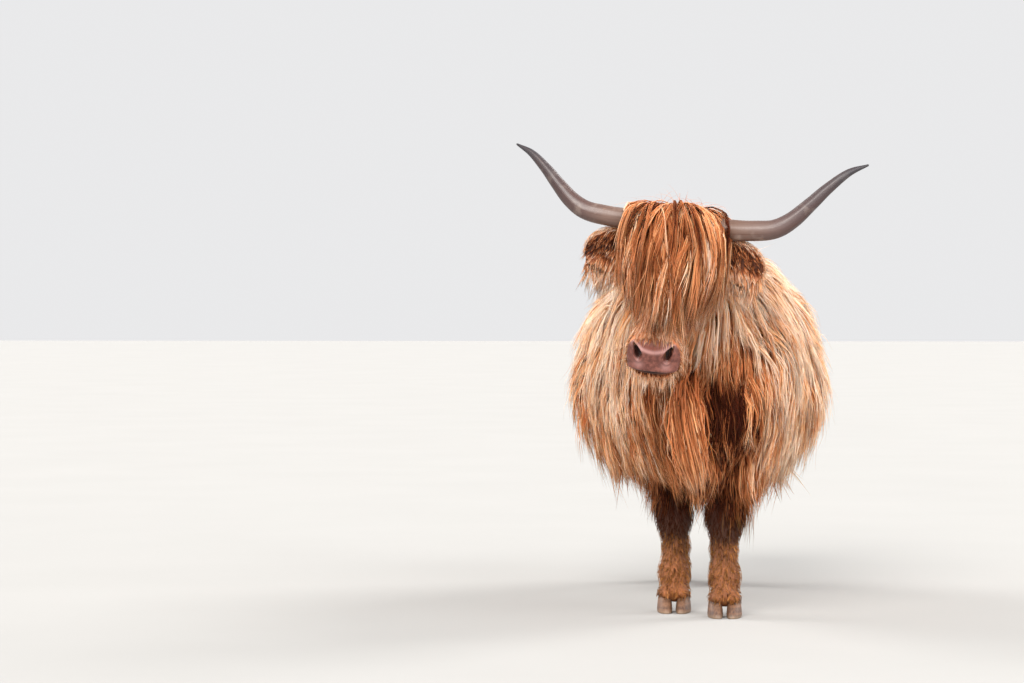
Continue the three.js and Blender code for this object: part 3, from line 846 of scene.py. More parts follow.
BODY_ZONES = both_sides([  # place, reach, length, depth, lift, marking, lie (aside, back, up)
    ((0.08, 0.02, 1.09), (0.16, 0.16, 0.10), 0.180, 0.046, 0.35, 0.16, (0.8, 0.3, -0.4)),  # withers
    ((0.10, 0.50, 1.07), (0.16, 0.30, 0.09), 0.160, 0.044, 0.34, 0.12, (0.6, 0.9, -0.4)),  # back
    ((0.12, 0.90, 1.09), (0.16, 0.16, 0.10), 0.150, 0.044, 0.34, 0.14, (0.6, 0.9, -0.5)),  # hips
    ((0.08, 1.14, 1.03), (0.14, 0.12, 0.12), 0.150, 0.046, 0.30, 0.24, (0.6, 0.6, -0.8)),  # rump
    ((0.26, 0.08, 0.88), (0.12, 0.16, 0.18), 0.240, 0.058, 0.30, 0.16, (0.6, 0.45, -0.9)),  # shoulder
    ((0.34, 0.48, 0.88), (0.12, 0.30, 0.16), 0.230, 0.062, 0.30, 0.16, (0.5, 0.45, -0.9)),  # flank
    ((0.34, 0.45, 0.62), (0.12, 0.32, 0.14), 0.270, 0.066, 0.30, 0.36, (0.2, 0.40, -1.0)),  # low flank
    ((0.22, 0.26, 0.46), (0.14, 0.34, 0.08), 0.290, 0.060, 0.22, 0.30, (0.3, 0.20, -1.0), False),  # low left
    ((-0.12, 0.40, 0.46), (0.20, 0.40, 0.08), 0.140, 0.040, 0.40, 0.62, (0.3, 0.30, -1.0), False),  # belly
    ((0.26, 0.92, 0.92), (0.12, 0.16, 0.16), 0.190, 0.058, 0.30, 0.20, (0.4, 0.35, -0.9)),  # haunch
    ((0.22, 0.95, 0.66), (0.12, 0.16, 0.12), 0.180, 0.050, 0.30, 0.36, (0.1, 0.35, -1.0)),  # thigh
    ((0.10, 1.16, 0.82), (0.12, 0.10, 0.16), 0.160, 0.048, 0.30, 0.34, (0.3, 0.35, -1.0)),  # buttock
    ((0.12, 1.06, 0.54), (0.10, 0.12, 0.07), 0.120, 0.036, 0.25, 0.58, (0.0, 0.40, -1.0)),  # gaskin
    ((0.14, -0.20, 0.86), (0.12, 0.12, 0.12), 0.260, 0.052, 0.35, 0.44, (0.6, 0.10, -1.0)),  # chest
    ((-0.08, -0.26, 0.62), (0.10, 0.12, 0.12), 0.250, 0.048, 0.35, 0.70, (0.2, 0.10, -1.0), False),  # brisket
    # The hollow beside the dewlap is dark as painted shade.
    ((0.09, -0.24, 0.60), (0.07, 0.12, 0.05), 0.120, 0.024, 0.30, 0.90, (0.3, 0.10, -1.0), False),  # hollow
    ((0.19, 0.02, 0.66), (0.08, 0.14, 0.10), 0.250, 0.056, 0.30, 0.14, (0.2, 0.20, -1.0)),  # elbow
    ((0.10, 0.03, 0.46), (0.10, 0.12, 0.08), 0.190, 0.042, 0.22, 0.60, (0.0, 0.20, -1.0)),  # forearm
    ((0.08, 0.08, 0.35), (0.10, 0.20, 0.04), 0.060, 0.012, 0.10, 0.76, (0.0, 0.20, -1.0)),  # above the knee
    ((0.08, 0.08, 0.29), (0.10, 0.20, 0.03), 0.026, 0.003, 0.06, 0.85, (0.0, 0.20, -1.0)),  # knee
    ((0.08, 1.10, 0.42), (0.10, 0.16, 0.04), 0.032, 0.005, 0.06, 0.60, (0.0, 0.25, -1.0)),  # hock
    ((0.08, 0.60, 0.22), (0.20, 0.80, 0.05), 0.022, 0.002, 0.05, 0.81, (0.0, 0.15, -1.0)),  # cannon
    ((0.08, 0.60, 0.10), (0.20, 0.80, 0.04), 0.026, 0.003, 0.06, 0.79, (0.0, 0.25, -1.0)),  # pastern
    ((0.00, 0.85, 0.42), (0.10, 0.12, 0.07), 0.022, 0.004, 0.15, 0.40, (0.2, 0.10, -1.0)),  # udder
    ((0.04, -0.24, 1.08), (0.10, 0.14, 0.07), 0.250, 0.056, 0.45, 0.20, (0.5, 0.80, -0.4)),  # crest
    ((0.14, -0.24, 0.94), (0.10, 0.14, 0.10), 0.280, 0.054, 0.30, 0.02, (0.8, 0.25, -0.9)),  # neck
    ((0.04, -0.34, 0.84), (0.08, 0.10, 0.06), 0.240, 0.042, 0.35, 0.40, (0.4, 0.15, -1.0)),  # throat
    ((0.00, 1.25, 0.80), (0.05, 0.06, 0.25), 0.070, 0.014, 0.20, 0.36, (0.3, 0.25, -1.0)),  # tail
])
# Painted shade: hair that lies in its neighbours' shade is made darkest, beside the dewlap, between
# the forelegs and at the knees.
PAINTED_SHADE = [  # place, reach, by how much
    ((0.105, -0.230, 0.600), (0.095, 0.140, 0.058), 1.05),
    ((0.000, -0.080, 0.440), (0.080, 0.160, 0.080), 0.40),
    ((0.078, 0.010, 0.310), (0.080, 0.110, 0.075), 0.58),
    ((-0.082, 0.140, 0.310), (0.080, 0.130, 0.075), 0.58),
]
# On the head the lie is away from the midline, down the face and out of the forehead.
HEAD_ZONES = both_sides([
    ((0.08, 0.02, -0.04), (0.06, 0.06, 0.05), 0.120, 0.026, 0.35, 0.34, (0.6, 0.6, -0.6)),  # temple
    ((0.03, 0.12, 0.05), (0.08, 0.08, 0.04), 0.060, 0.012, 0.20, 0.56, (0.1, 1.0, 0.0)),  # forehead
    ((0.09, 0.16, 0.01), (0.02, 0.04, 0.03), 0.014, 0.002, 0.10, 0.62, (0.2, 0.9, -0.3)),  # lids
    ((0.08, 0.20, -0.06), (0.05, 0.07, 0.05), 0.085, 0.022, 0.25, 0.42, (0.1, 0.8, -0.7)),  # cheek
    ((0.04, 0.28, -0.11), (0.06, 0.10, 0.04), 0.130, 0.026, 0.30, 0.34, (0.1, 0.8, -0.7)),  # throat
    ((0.03, 0.30, 0.04), (0.05, 0.07, 0.03), 0.058, 0.008, 0.18, 0.40, (0.1, 1.0, 0.1)),  # bridge
    ((0.06, 0.33, -0.02), (0.03, 0.07, 0.04), 0.045, 0.008, 0.20, 0.36, (0.1, 1.0, -0.3)),  # side
    ((0.05, 0.42, 0.02), (0.05, 0.03, 0.04), 0.031, 0.004, 0.14, 0.44, (0.2, 1.0, 0.1)),  # muzzle
    ((0.05, 0.47, -0.02), (0.04, 0.02, 0.02), 0.007, 0.001, 0.10, 0.56, (0.2, 0.8, -0.4)),  # lip
    # The lower lip's dark hair is partly its own colour and partly painted shade under the upper lip.
    ((0.03, 0.47, -0.05), (0.05, 0.02, 0.012), 0.012, 0.002, 0.15, 0.95, (0.1, 0.8, -0.6)),  # lower lip
    ((0.03, 0.44, -0.08), (0.05, 0.04, 0.03), 0.070, 0.012, 0.30, 0.20, (0.1, 0.9, -0.5)),  # chin
])


def nearness(places, centre, reach):
    """1 at a centre, falling to nothing past its reach on each axis."""
    return np.exp(-np.sum(((places - centre) / reach) ** 2, axis=1))


def settle(places, zones):
    """Length, depth, lift, marking and lie at some places, from the zones round them."""
    total = np.full(len(places), 1e-9)
    values, lies = np.zeros((len(places), 4)), np.zeros((len(places), 3))
    for centre, reach, numbers, lie in zones:
        far_away = 0.01 + np.sum((places - centre) ** 2, axis=1)
        weight = nearness(places, centre, reach) + 1e-7 / far_away
        total += weight
        values += weight[:, None] * np.array(numbers)
        lies_here = np.tile(lie, (len(places), 1))
        lies_here[:, 0] *= np.sign(centre[0]) if centre[0] else np.sign(places[:, 0])
        lies += weight[:, None] * lies_here
    return values / total[:, None], lies / total[:, None]


def drift(points, wavelength, seed):
    """A smooth random direction for each point, which turns over the wavelength."""
    waves = np.random.default_rng(seed)
    turns = unit(waves.normal(0, 1, (6, 3))) * 2 * np.pi / wavelength
    sums = np.sin(points @ turns.T + waves.uniform(0, 2 * np.pi, 6))
    return sums @ waves.normal(0, 0.5, (6, 3))


def is_head(points):
    """Whether points lie past the end of the neck."""
    return (points - NECK_TOP) @ neck_run > -0.03


def ear_share(points, name):
    """How far out along one ear each point lies, from 0 at the root to 1, or -1 off the ear."""
    root, along, up, front = EARS[name]
    local = points - root
    share = local @ along / EAR_LENGTH
    beside = np.hypot(local @ up, local @ front - 0.01)
    return np.where((share > 0.12) & (beside < 0.075), share, -1)


def coat_at(points):
    """Length, depth, lift, marking and lie of the coat at places on the skin."""
    places = points - HOME
    values, lies = settle(places, BODY_ZONES)
    head = np.flatnonzero(is_head(points))
    local = from_head(points[head])
    head_values, head_lies = settle(local, HEAD_ZONES)
    values[head], lies[head] = head_values, head_lies @ HEAD_AXES
    for name, (root, along, up, front) in EARS.items():
        share = ear_share(points, name)
        on_ear = np.flatnonzero(share > 0)
        spots = points[on_ear] - root
        height = spots @ up + 0.012 * share[on_ear]
        half = np.interp(share[on_ear], *EAR_OUTLINE)
        below = eased(-0.05, -0.70, height / half)
        rim = eased(0.62, 0.90, np.abs(height) / half)
        inside = eased(-0.001, 0.003, spots @ front - ear_cup(height / half, share[on_ear]))
        values[on_ear, 0] = 0.034 + 0.012 * rim + 0.070 * below
        values[on_ear, 1] = 0.003 + 0.007 * below
        values[on_ear, 2] = 0.10 + 0.06 * rim + 0.22 * below
        values[on_ear, 3] = 0.36 + 0.44 * inside * (1 - rim) * (1 - below) - 0.16 * below - 0.16 * rim
        fall = 0.55 * inside + 1.4 * below
        lies[on_ear] = along - np.outer(fall, (0, 0, 1)) + np.outer(0.3 * np.sign(height) * rim, up)
    ruffled = (np.clip(values[:, 0] / 0.2, 0, 1.2) * (0.35 + 0.65 * eased(0.5, 0.8, places[:, 2])))[:, None]
    lies = lies + ruffled * (0.42 * drift(points, 0.42, 3) + 0.26 * drift(points, 0.16, 4))
    # Painted shade: the marking darkens where neighbouring hair shades the coat.
    for place, reach, amount in PAINTED_SHADE:
        values[:, 3] += amount * nearness(places, place, reach)
    return values, lies


# ---- Growing hair ---------------------------------------------------------------------------
# A guide starts along the lie of the coat, bends down under its weight, and is held off the body
# by the hair beneath it. Strands share a guide, and their ends draw together as in a real lock.
ROOT_DEPTH = 0.002  # how far under the skin a hair starts
CROWDING = 1.5  # above 1, the points of a hair stand closer together near its root
lattice_slopes = [np.gradient(coarse, NET, axis=axis) for axis in range(3)]


def near_body(points):
    """The distance to the skin and the way out, read from the block of distances."""
    spots = np.clip((points - block_low) / NET, 0.01, counts - 1.01)
    base = spots.astype(int)
    part = spots - base
    blocks = [coarse, *lattice_slopes]
    sums = [np.zeros(len(points)) for _ in blocks]
    for corner in np.ndindex(2, 2, 2):
        weight = np.prod(np.where(corner, part, 1 - part), axis=1)
        place = tuple((base + corner).T)
        for block, total in zip(blocks, sums):
            total += weight * block[place]
    return sums[0], unit(np.stack(sums[1:], axis=1))


def along_hair(steps):
    """How far along a hair its points lie: close together near the root, where it has to turn most."""
    return np.linspace(0, 1, steps + 1) ** CROWDING


def guides_from(
    roots, normals, length, depth, lift, lie, layer, steps, rng, wave=0.018, weight=1.0, gathered=0.0
):
    """The paths of guide hairs, one row for each step. gathered draws neighbours into a broad lock."""
    lie = unit(lie - normals * np.sum(lie * normals, axis=1, keepdims=True))
    heading = unit(lie * (1 - lift)[:, None] + normals * lift[:, None])
    path, shares = [roots - ROOT_DEPTH * normals], along_hair(steps)
    for k in range(1, steps + 1):
        share = shares[k]
        step = length * (share - shares[k - 1])
        bend = weight * np.clip(step / 0.030, 0.15, 1.2)[:, None]
        heading = unit(heading + 0.30 * bend * lie * (1 - share) + 0.55 * bend * np.array([0, 0, -1.0]))
        place = path[-1] + heading * step[:, None]
        gap, away = near_body(place)
        room = 0.003 + depth * layer * share**0.5
        place = place + away * np.clip(room - gap, -0.25 * step, 0.10)[:, None] * (gap < 0.12)[:, None]
        heading = unit(place - path[-1])
        path.append(path[-1] + heading * step[:, None])
    path = np.array(path)
    for _ in range(2):
        path[1:-1] = 0.25 * path[:-2] + 0.5 * path[1:-1] + 0.25 * path[2:]
    waves = wave * np.clip(length / 0.22, 0.1, 1.3)
    phase, turns = rng.uniform(0, 2 * np.pi, len(roots)), np.maximum(length / 0.26, 0.4)
    beside = unit(np.cross(path[-1] - path[0], normals) + 1e-6)
    if gathered:
        leaders = rng.choice(len(roots), max(len(roots) // 5, 1), replace=False)
        apart = np.linalg.norm(roots[:, None] - roots[None, leaders], axis=2)
        leader = leaders[np.argmin(apart, axis=1)]
        beside_leader = roots - roots[leader]
        for k in range(1, steps + 1):
            share = gathered * shares[k] ** 0.6
            path[k] += share * (path[k][leader] + (1 - share) * beside_leader - path[k])
        phase = phase[leader] + rng.normal(0, 0.5, len(roots))
    for k in range(1, steps + 1):
        share = shares[k]
        swing = np.sin(phase + 2 * np.pi * turns * share * rng.uniform(0.85, 1.15)) - np.sin(phase)
        path[k] += (waves * share**0.7 * swing)[:, None] * beside
    return path


def locks(roots, guide_roots, guide_paths, normals, rng, gather, fray, shortest=0.72):
    """Strand paths, each along the guide nearest to its root. fray and shortest are shares of its length."""
    steps = len(guide_paths) - 1
    nearest = np.empty(len(roots), int)
    for some in np.array_split(np.arange(len(roots)), math.ceil(len(roots) / 500)):
        spread = np.linalg.norm(roots[some][:, None] - guide_roots[None], axis=2)
        nearest[some] = np.argmin(spread, axis=1)
    offset = roots - guide_roots[nearest]
    loose_end = fray * np.linalg.norm(guide_paths[-1] - guide_paths[0], axis=1)[nearest]
    reach = rng.uniform(shortest, 1.0, len(roots))
    wisp = rng.random(len(roots)) < 0.08
    loose_end = loose_end * np.where(wisp, 2.6, 1.0)
    drawn = np.where(wisp, 0.1, rng.uniform(gather - 0.15, gather + 0.12, len(roots)))
    stray = np.clip(rng.normal(0, 1, (len(roots), 3)), -1.6, 1.6)
    phase = rng.uniform(0, 2 * np.pi, len(roots))
    paths = []
    for k in range(steps + 1):
        spot = reach * k
        low = np.minimum(spot.astype(int), steps - 1)
        part = (spot - low)[:, None]
        guide = guide_paths[low, nearest] * (1 - part) + guide_paths[low + 1, nearest] * part
        share = ((spot / steps) ** CROWDING)[:, None]
        kept = 1 - drawn[:, None] * share**0.8
        loose = (loose_end * share[:, 0] ** 1.4 * (1 + 0.5 * np.sin(phase + 7 * share[:, 0])))[:, None]
        paths.append(guide + offset * kept + loose * stray)
    paths = np.array(paths)
    paths[0] = roots - ROOT_DEPTH * normals
    for k in range(1, steps + 1):
        gap, away = near_body(paths[k])
        paths[k] += away * np.clip(0.0035 + 0.003 * k / steps - gap, 0, 0.03)[:, None]
    return paths, nearest


def paint(mesh, name, values):
    """Keeps one number for each corner of a mesh, for its material to read."""
    stored = mesh.attributes.new(name, "FLOAT", "POINT")
    stored.data.foreach_set("value", np.asarray(values, np.float32).reshape(-1))


def piece_of(mesh, material):
    """A smooth mesh in its material, as an object of the same name."""
    mesh.shade_smooth()
    mesh.materials.append(material)
    piece = bpy.data.objects.new(mesh.name, mesh)
    bpy.context.collection.objects.link(piece)
    return piece


def tube_faces(rings, around, start=0):
    """Squares between rings of corners, each closed on itself and counted from start."""
    faces = []
    for first in range(start, start + (rings - 1) * around, around):
        for i in range(around):
            a, b = first + i, first + (i + 1) % around
            faces.append((a, b, b + around, a + around))
    return faces


def strands_piece(name, paths, width, marking, across_unwrap, root_tone, tip_tone):
    """Strands as one piece: three-cornered, tapering to a point. marking is at the root and at the tip."""
    steps, count = len(paths) - 1, paths.shape[1]
    shares = along_hair(steps)
    rings = []
    for k in range(steps):
        run = unit(paths[min(k + 1, steps)] - paths[max(k - 1, 0)])
        away = near_body(paths[k])[1]
        side = unit(np.cross(run, away) + 1e-6)
        out = np.cross(side, run)
        fullness = 0.75 + 0.25 * np.sin(np.pi * min(shares[k] * 2, 1))
        half = 0.56 * width * fullness * (1 - shares[k] ** 2.2) ** 0.6
        half = np.maximum(half, 0.0003)[:, None]
        rings.append(paths[k][:, None] + np.stack([side * half, -side * half, out * half * 0.5], 1))
    corners = np.concatenate([np.stack(rings, 1).reshape(count, -1, 3), paths[-1][:, None]], axis=1)
    per_strand = 3 * steps + 1
    faces = [(2, 1, 0)]
    for a, b, above_b, above_a in tube_faces(steps, 3):
        faces += [(a, b, above_b), (a, above_b, above_a)]
    faces += [(3 * steps - 3 + i, 3 * steps - 3 + (i + 1) % 3, 3 * steps) for i in range(3)]
    loops = (np.array(faces)[None] + per_strand * np.arange(count)[:, None, None]).reshape(-1)
    mesh = bpy.data.meshes.new(name)
    mesh.vertices.add(count * per_strand)
    mesh.vertices.foreach_set("co", corners.reshape(-1).astype(np.float32))
    mesh.loops.add(len(loops))
    mesh.loops.foreach_set("vertex_index", loops.astype(np.int32))
    mesh.polygons.add(len(loops) // 3)
    mesh.polygons.foreach_set("loop_start", np.arange(0, len(loops), 3, dtype=np.int32))
    mesh.update(calc_edges=True)
    along = np.append(np.repeat(shares[:-1], 3), 1.0)
    across = np.append(np.tile([0.0, 1.0, 0.5], steps), 0.5)
    spread = np.stack([np.tile(across, count), np.tile(along, count)], axis=1)
    spread[:, 0] += np.repeat(np.arange(count) * 0.37 % 7, per_strand)
    patch = 0.003 * (np.stack([across, along], axis=1)[None] - 0.5) + across_unwrap[:, None]
    for map_name, places in (("OFBake", patch.reshape(-1, 2)), ("strand", spread)):
        layer = mesh.uv_layers.new(name=map_name)
        layer.uv.foreach_set("vector", places[loops].reshape(-1).astype(np.float32))
    mesh.uv_layers.active = mesh.uv_layers["OFBake"]
    root_mark, tip_mark = marking
    tone = root_mark[:, None] * (1 - along) + tip_mark[:, None] * along
    paint(mesh, "marking", tone + root_tone * (1 - along) ** 3 + tip_tone * along**2)
    return piece_of(mesh, HAIR)


# ---- Where each part of the coat grows ------------------------------------------------------
# Roots are spread over the skin by area, and by how close the hair of each part stands.
def column(items, name, kind=np.float32):
    """One measure of all the items of a mesh, three numbers to a row."""
    values = np.empty(3 * len(items), kind)
    items.foreach_get(name, values)
    return values.reshape(-1, 3)


skin_mesh.calc_loop_triangles()
skin_places = column(skin_mesh.vertices, "co").astype(float)
faces_at = skin_places[column(skin_mesh.loop_triangles, "vertices", np.int32)]
face_middles = faces_at.mean(axis=1)
face_turns = np.cross(faces_at[:, 1] - faces_at[:, 0], faces_at[:, 2] - faces_at[:, 0])
face_areas = np.linalg.norm(face_turns, axis=1) / 2
face_outs = unit(face_turns)


def bare(points):
    """Skin that grows no hair: the nose pad, the nostrils and the slits of the eyes."""
    above, _ = mouth_line(points)
    near_nose = near_pad(points, NOSE_REACH)
    pad = near_nose & (beyond_pad(points) > -0.016) & (above > -0.004)
    nostrils = near_nose & np.any([within_nostril(points, side) > -0.6 for side in (1, -1)], axis=0)
    lids = np.any([within_lids(points, name) > -0.15 for name in EYE_PLACE], axis=0)
    return pad | nostrils | lids


def roots_on(chosen, count, rng, close=None):
    """Random places on the chosen faces of the skin, closer where close is more, and the way out."""
    weight = face_areas[chosen] * (1 if close is None else close[chosen])
    picked = chosen[rng.choice(len(chosen), count, p=weight / weight.sum())]
    first, second = rng.random(count), rng.random(count)
    flip = first + second > 1
    first[flip], second[flip] = 1 - first[flip], 1 - second[flip]
    a, b, c = faces_at[picked].transpose(1, 0, 2)
    return a + first[:, None] * (b - a) + second[:, None] * (c - a), face_outs[picked]


head_spots = from_head(face_middles)
middle_x, middle_y, middle_z = (face_middles - HOME).T
on_head_faces = is_head(face_middles)
FORELOCK = on_head_faces & (np.abs(head_spots[:, 0]) < 0.112) & (face_outs @ FACE > -0.30)
FORELOCK &= (head_spots[:, 1] < 0.085) & (head_spots[:, 2] > -0.012)
FACE_FACES = on_head_faces & ~FORELOCK & ~bare(face_middles)
above_hooves = ~on_head_faces & (middle_z > 0.052)
by_a_leg = (np.abs(middle_y - 0.06) < 0.24) | (middle_y > 0.92)
LEGS = above_hooves & by_a_leg & (middle_z < np.where(middle_y > 0.7, 0.50, 0.46))
REST = above_hooves & ~LEGS
up_the_neck = (face_middles - NECK_FOOT) @ neck_run
NECK = REST & (up_the_neck > 0.10) & (middle_z > 0.80)
CHEST = REST & ~NECK & (middle_y < -0.02)
HIND = REST & ~NECK & ~CHEST & (middle_y > 0.80)
TOP = REST & ~NECK & ~CHEST & ~HIND & (middle_z > 0.98)
FLANK = REST & ~NECK & ~CHEST & ~HIND & ~TOP


def unwrap(points, outs, part=0):
    """A flat map of roots: one cell for each side of each part, as large as the map allows."""
    facing = np.argmax(np.abs(outs), axis=1)
    ahead = outs[np.arange(len(outs)), facing] > 0
    cell = 6 * np.asarray(part) + 2 * facing + ahead
    used, cell = np.unique(cell, return_inverse=True)
    columns = math.ceil(math.sqrt(len(used)))
    flat = np.empty((len(points), 2))
    for number in range(len(used)):
        inside = np.flatnonzero(cell == number)
        local = np.delete(points[inside], facing[inside[0]], axis=1)
        local = (local - local.min(axis=0)) / max(np.ptp(local, axis=0).max(), 0.01)
        flat[inside] = (np.array(divmod(number, columns)) + 0.02 + 0.96 * local) / columns
    return flat


COAT = {  # where it grows, strands, guides, steps, width, how far neighbours are gathered
    "neck_coat": (NECK, 5000, 600, 6, 0.0045, 0.45),
    "chest_coat": (CHEST, 4200, 500, 6, 0.0045, 0.50),
    "left_flank_coat": (FLANK & (middle_x > 0), 5200, 600, 5, 0.0050, 0.45),
    "right_flank_coat": (FLANK & (middle_x <= 0), 5200, 600, 5, 0.0050, 0.45),
    "back_coat": (TOP, 4900, 640, 5, 0.0048, 0.30),
    "hind_coat": (HIND, 5900, 820, 5, 0.0051, 0.34),
    "leg_coat": (LEGS, 10500, 3600, 3, 0.0034, 0.0),
    "face_coat": (FACE_FACES, 10500, 3600, 3, 0.0031, 0.0),
}
hair_lengths = coat_at(face_middles)[0][:, 0]
on_ears = np.any([ear_share(face_middles, name) > 0 for name in EARS], axis=0)
on_muzzle = on_head_faces & (head_spots[:, 1] > 0.30) & (head_spots[:, 2] > -0.05)
behind_poll = on_head_faces & (head_spots[:, 1] < 0.06)
by_parting = behind_poll & (face_outs @ FACE > -0.65) & (np.abs(head_spots[:, 0]) < 0.10)
# Hair stands closer where it is short, along the spine, at the nape, on the ears and the muzzle, and
# most of all where it parts at the poll.
for number, (name, (faces, count, guide_count, steps, width, gathered)) in enumerate(COAT.items()):
    rng = np.random.default_rng(100 + number)
    chosen = np.flatnonzero(faces)
    close = 1 / np.clip(hair_lengths, 0.012, 0.3) ** (0.85 if name == "face_coat" else 0.5)
    close *= 1 + 2.2 * hump(0, 0.07, middle_x) * (middle_z > 0.9)
    close *= 1 + 1.6 * hump(-0.03, 0.05, up_the_neck - NECK_LENGTH)
    close = np.where(on_ears, 60.0, close * (1 + 3.0 * on_muzzle + 1.5 * behind_poll + 4.0 * by_parting))
    guide_roots, guide_outs = roots_on(chosen, guide_count, rng, close)
    values, lies = coat_at(guide_roots)
    length = values[:, 0] * rng.uniform(0.8, 1.15, guide_count)
    layer = rng.uniform(0.25, 1.0, guide_count)
    paths = guides_from(
        guide_roots, guide_outs, length, values[:, 1], values[:, 2], lies, layer, steps, rng,
        weight=0.7 if gathered else 1.0, gathered=gathered,
    )
    roots, outs = roots_on(chosen, count, rng, close)
    strands, nearest = locks(roots, guide_roots, paths, outs, rng, gather=0.86, fray=0.040)
    strand_length = values[nearest, 0]
    uneven = 0.5 if name == "leg_coat" else 1.0
    shade = uneven * (rng.normal(0, 0.16, guide_count)[nearest] + rng.normal(0, 0.10, count))
    marking = [coat_at(ends)[0][:, 3] + shade for ends in (roots, strands[-1])]
    wide = width * np.clip(strand_length / 0.12, 0.55, 1.0) * rng.uniform(0.7, 1.2, count)
    # Head and body, left and right, front and hind, and each ear get cells of their own on the map.
    part = 3 * is_head(roots) + (roots[:, 0] > HOME[0]) + 4 * (roots[:, 1] > HOME[1] + 0.5)
    for ear, ear_name in enumerate(EARS):
        part = np.where(ear_share(roots, ear_name) > 0, 12 + ear, part)
    tones = (0.08, -0.08) if name == "leg_coat" else (0.26, -0.22)
    piece = strands_piece(name, strands, wide, marking, unwrap(roots, outs, part), *tones)
    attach(piece, "root")
    "short_hair" if name == "leg_coat" else "coat"

# The colours of the hide, where they show between the tufts and on the bare nose, with painted shade
# under long hair, on the ears, in the nostrils and along the mouth, and painted highlights on the pad.
above, forward = mouth_line(skin_places)
pad_gap = beyond_pad(skin_places)
by_pad = near_pad(skin_places, NOSE_REACH)
nostril_depth = np.max([within_nostril(skin_places, side) for side in (1, -1)], axis=0)
lid_depth = np.max([within_lids(skin_places, name) for name in EYE_PLACE], axis=0)
pad_side, pad_height = np.abs((skin_places - POLL) @ SIDE), (skin_places - PAD_TOP) @ PAD_UP
ridge = pad_height + 0.016 - 7.0 * pad_side**2
skin_outs = column(skin_mesh.vertex_normals, "vector")
skin_values = coat_at(skin_places)[0]
on_ear = np.any([ear_share(skin_places, name) > 0 for name in EARS], axis=0)
on_pad = by_pad * eased(-0.02, -0.01, pad_gap)
# Painted highlights on the moist pad below the nostrils.
highlight_below_nostrils = hump(0.040, 0.013, pad_side) * hump(-0.056, 0.012, pad_height)
# The line between the lips, darkened as painted shade, and the dark middle of the lower lip.
lips = hump(-0.001, 0.0035, above) + hump(-0.011, 0.009, above) * hump(0, 0.034, pad_side)
nostrils = eased(0.0, 0.3, nostril_depth) * by_pad
from_udder = np.linalg.norm((skin_places - HOME - (0, 0.85, 0.44)) / (1, 1.1, 0.8), axis=1)
SKIN_TONES = {
    "top": eased(0.55, 0.85, skin_outs[:, 2]) * (skin_places[:, 2] > 0.8),
    # Painted shade: the hide's marking and underfur shade are darker under long hair and on the ears.
    "marking": skin_values[:, 3] + 0.03 + 0.11 * eased(0.04, 0.12, skin_values[:, 0]) + 0.14 * on_ear,
    "deep": np.clip(0.35 + 0.65 * eased(0.02, 0.12, skin_values[:, 0]) + 0.4 * on_ear, 0, 1),
    "bare": by_pad * eased(-0.022, -0.012, pad_gap) * eased(-0.006, 0.0, above) + (lid_depth > -0.10),
    # A pale band along the ridge of the pad, and painted highlights below the nostrils.
    "pale": on_pad * np.clip(0.8 * hump(0, 0.006, ridge) + 0.55 * highlight_below_nostrils, 0, 1),
    "ruddy": on_pad * eased(0.003, 0.010, ridge) * 0.8,
    # Dark skin on the lips and lid rims, and painted shade in the nostrils and along the line between the
    # lips.
    "dark": np.clip(nostrils + 0.9 * lips * forward * by_pad + eased(-0.18, -0.08, lid_depth), 0, 1),
    "udder": eased(0.13, 0.10, from_udder),
}
for name, values in SKIN_TONES.items():
    paint(skin_mesh, name, values)

# ---- The forelock ---------------------------------------------------------------------------
# The long fringe of the breed: it springs from the poll between the horns, lies over the brow and
# the eyes, and ends in points just above the nose.
FORELOCK_END = 0.456  # how far down the face the longest hairs reach
FORELOCK_GUIDES, FORELOCK_HAIRS, FORELOCK_STEPS = 420, 4400, 7
FORELOCK_HALF = 0.11  # beyond this, hairs that swing out are drawn in
rng = np.random.default_rng(7)
chosen = np.flatnonzero(FORELOCK)
crown = 1 + 2.5 * eased(0.15, -0.15, face_outs @ FACE)
guide_roots, guide_outs = roots_on(chosen, FORELOCK_GUIDES, rng, crown)
local = from_head(guide_roots)
lie = LONG + np.outer(1.6 * local[:, 0], SIDE) + 0.45 * drift(guide_roots, 0.10, 8)
lie += np.outer(1.4 * eased(-0.1, -0.7, guide_outs @ LONG), FACE)
length = (FORELOCK_END - local[:, 1]) * (1 - 0.30 * (local[:, 0] / FORELOCK_HALF) ** 2) + 0.02
length = length * rng.uniform(0.78, 1.04, len(local))
layer = rng.uniform(0.10, 1.0, len(local))
lift = np.where(local[:, 1] < 0.02, 0.34, 0.22) * rng.uniform(0.6, 1.2, len(local))
paths = guides_from(
    guide_roots, guide_outs, length, np.full(len(local), 0.056), lift, lie, layer, FORELOCK_STEPS, rng,
    wave=0.009, weight=0.7,
)
for k in range(1, FORELOCK_STEPS + 1):
    side, down, out = from_head(paths[k]).T
    side = side * (1 - 0.34 * eased(0.16, 0.40, down))
    beyond = np.maximum(np.abs(side) - FORELOCK_HALF, 0)
    side = np.sign(side) * (np.minimum(np.abs(side), FORELOCK_HALF) + 0.05 * np.tanh(beyond / 0.05))
    out = np.minimum(out, 0.064 + 0.040 * layer - 0.014 * eased(0.25, 0.45, down))
    paths[k] = POLL + np.stack([side, down, out], axis=1) @ HEAD_AXES
roots, outs = roots_on(chosen, FORELOCK_HAIRS, rng, crown)
strands, nearest = locks(roots, guide_roots, paths, outs, rng, gather=0.70, fray=0.020)
shade = rng.normal(0, 0.20, FORELOCK_GUIDES)[nearest] + rng.normal(0, 0.12, len(roots))
marking = [0.38 + shade, 1.08 + shade]
wide = 0.0036 * rng.uniform(0.65, 1.2, len(roots))
forelock = strands_piece("forelock_coat", strands, wide, marking, unwrap(roots, outs), 0.12, -0.48)
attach(forelock, "root")
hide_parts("forelock")

# ---- Two hanging locks ----------------------------------------------------------------------
# The dewlap carries one long lock down between the forelegs, and the tail ends in a switch. Hairs
# leave the skin over a short stretch and are drawn into one tapering bundle.
TUFTS = 26  # in each lock, whose hairs end together and sway alike


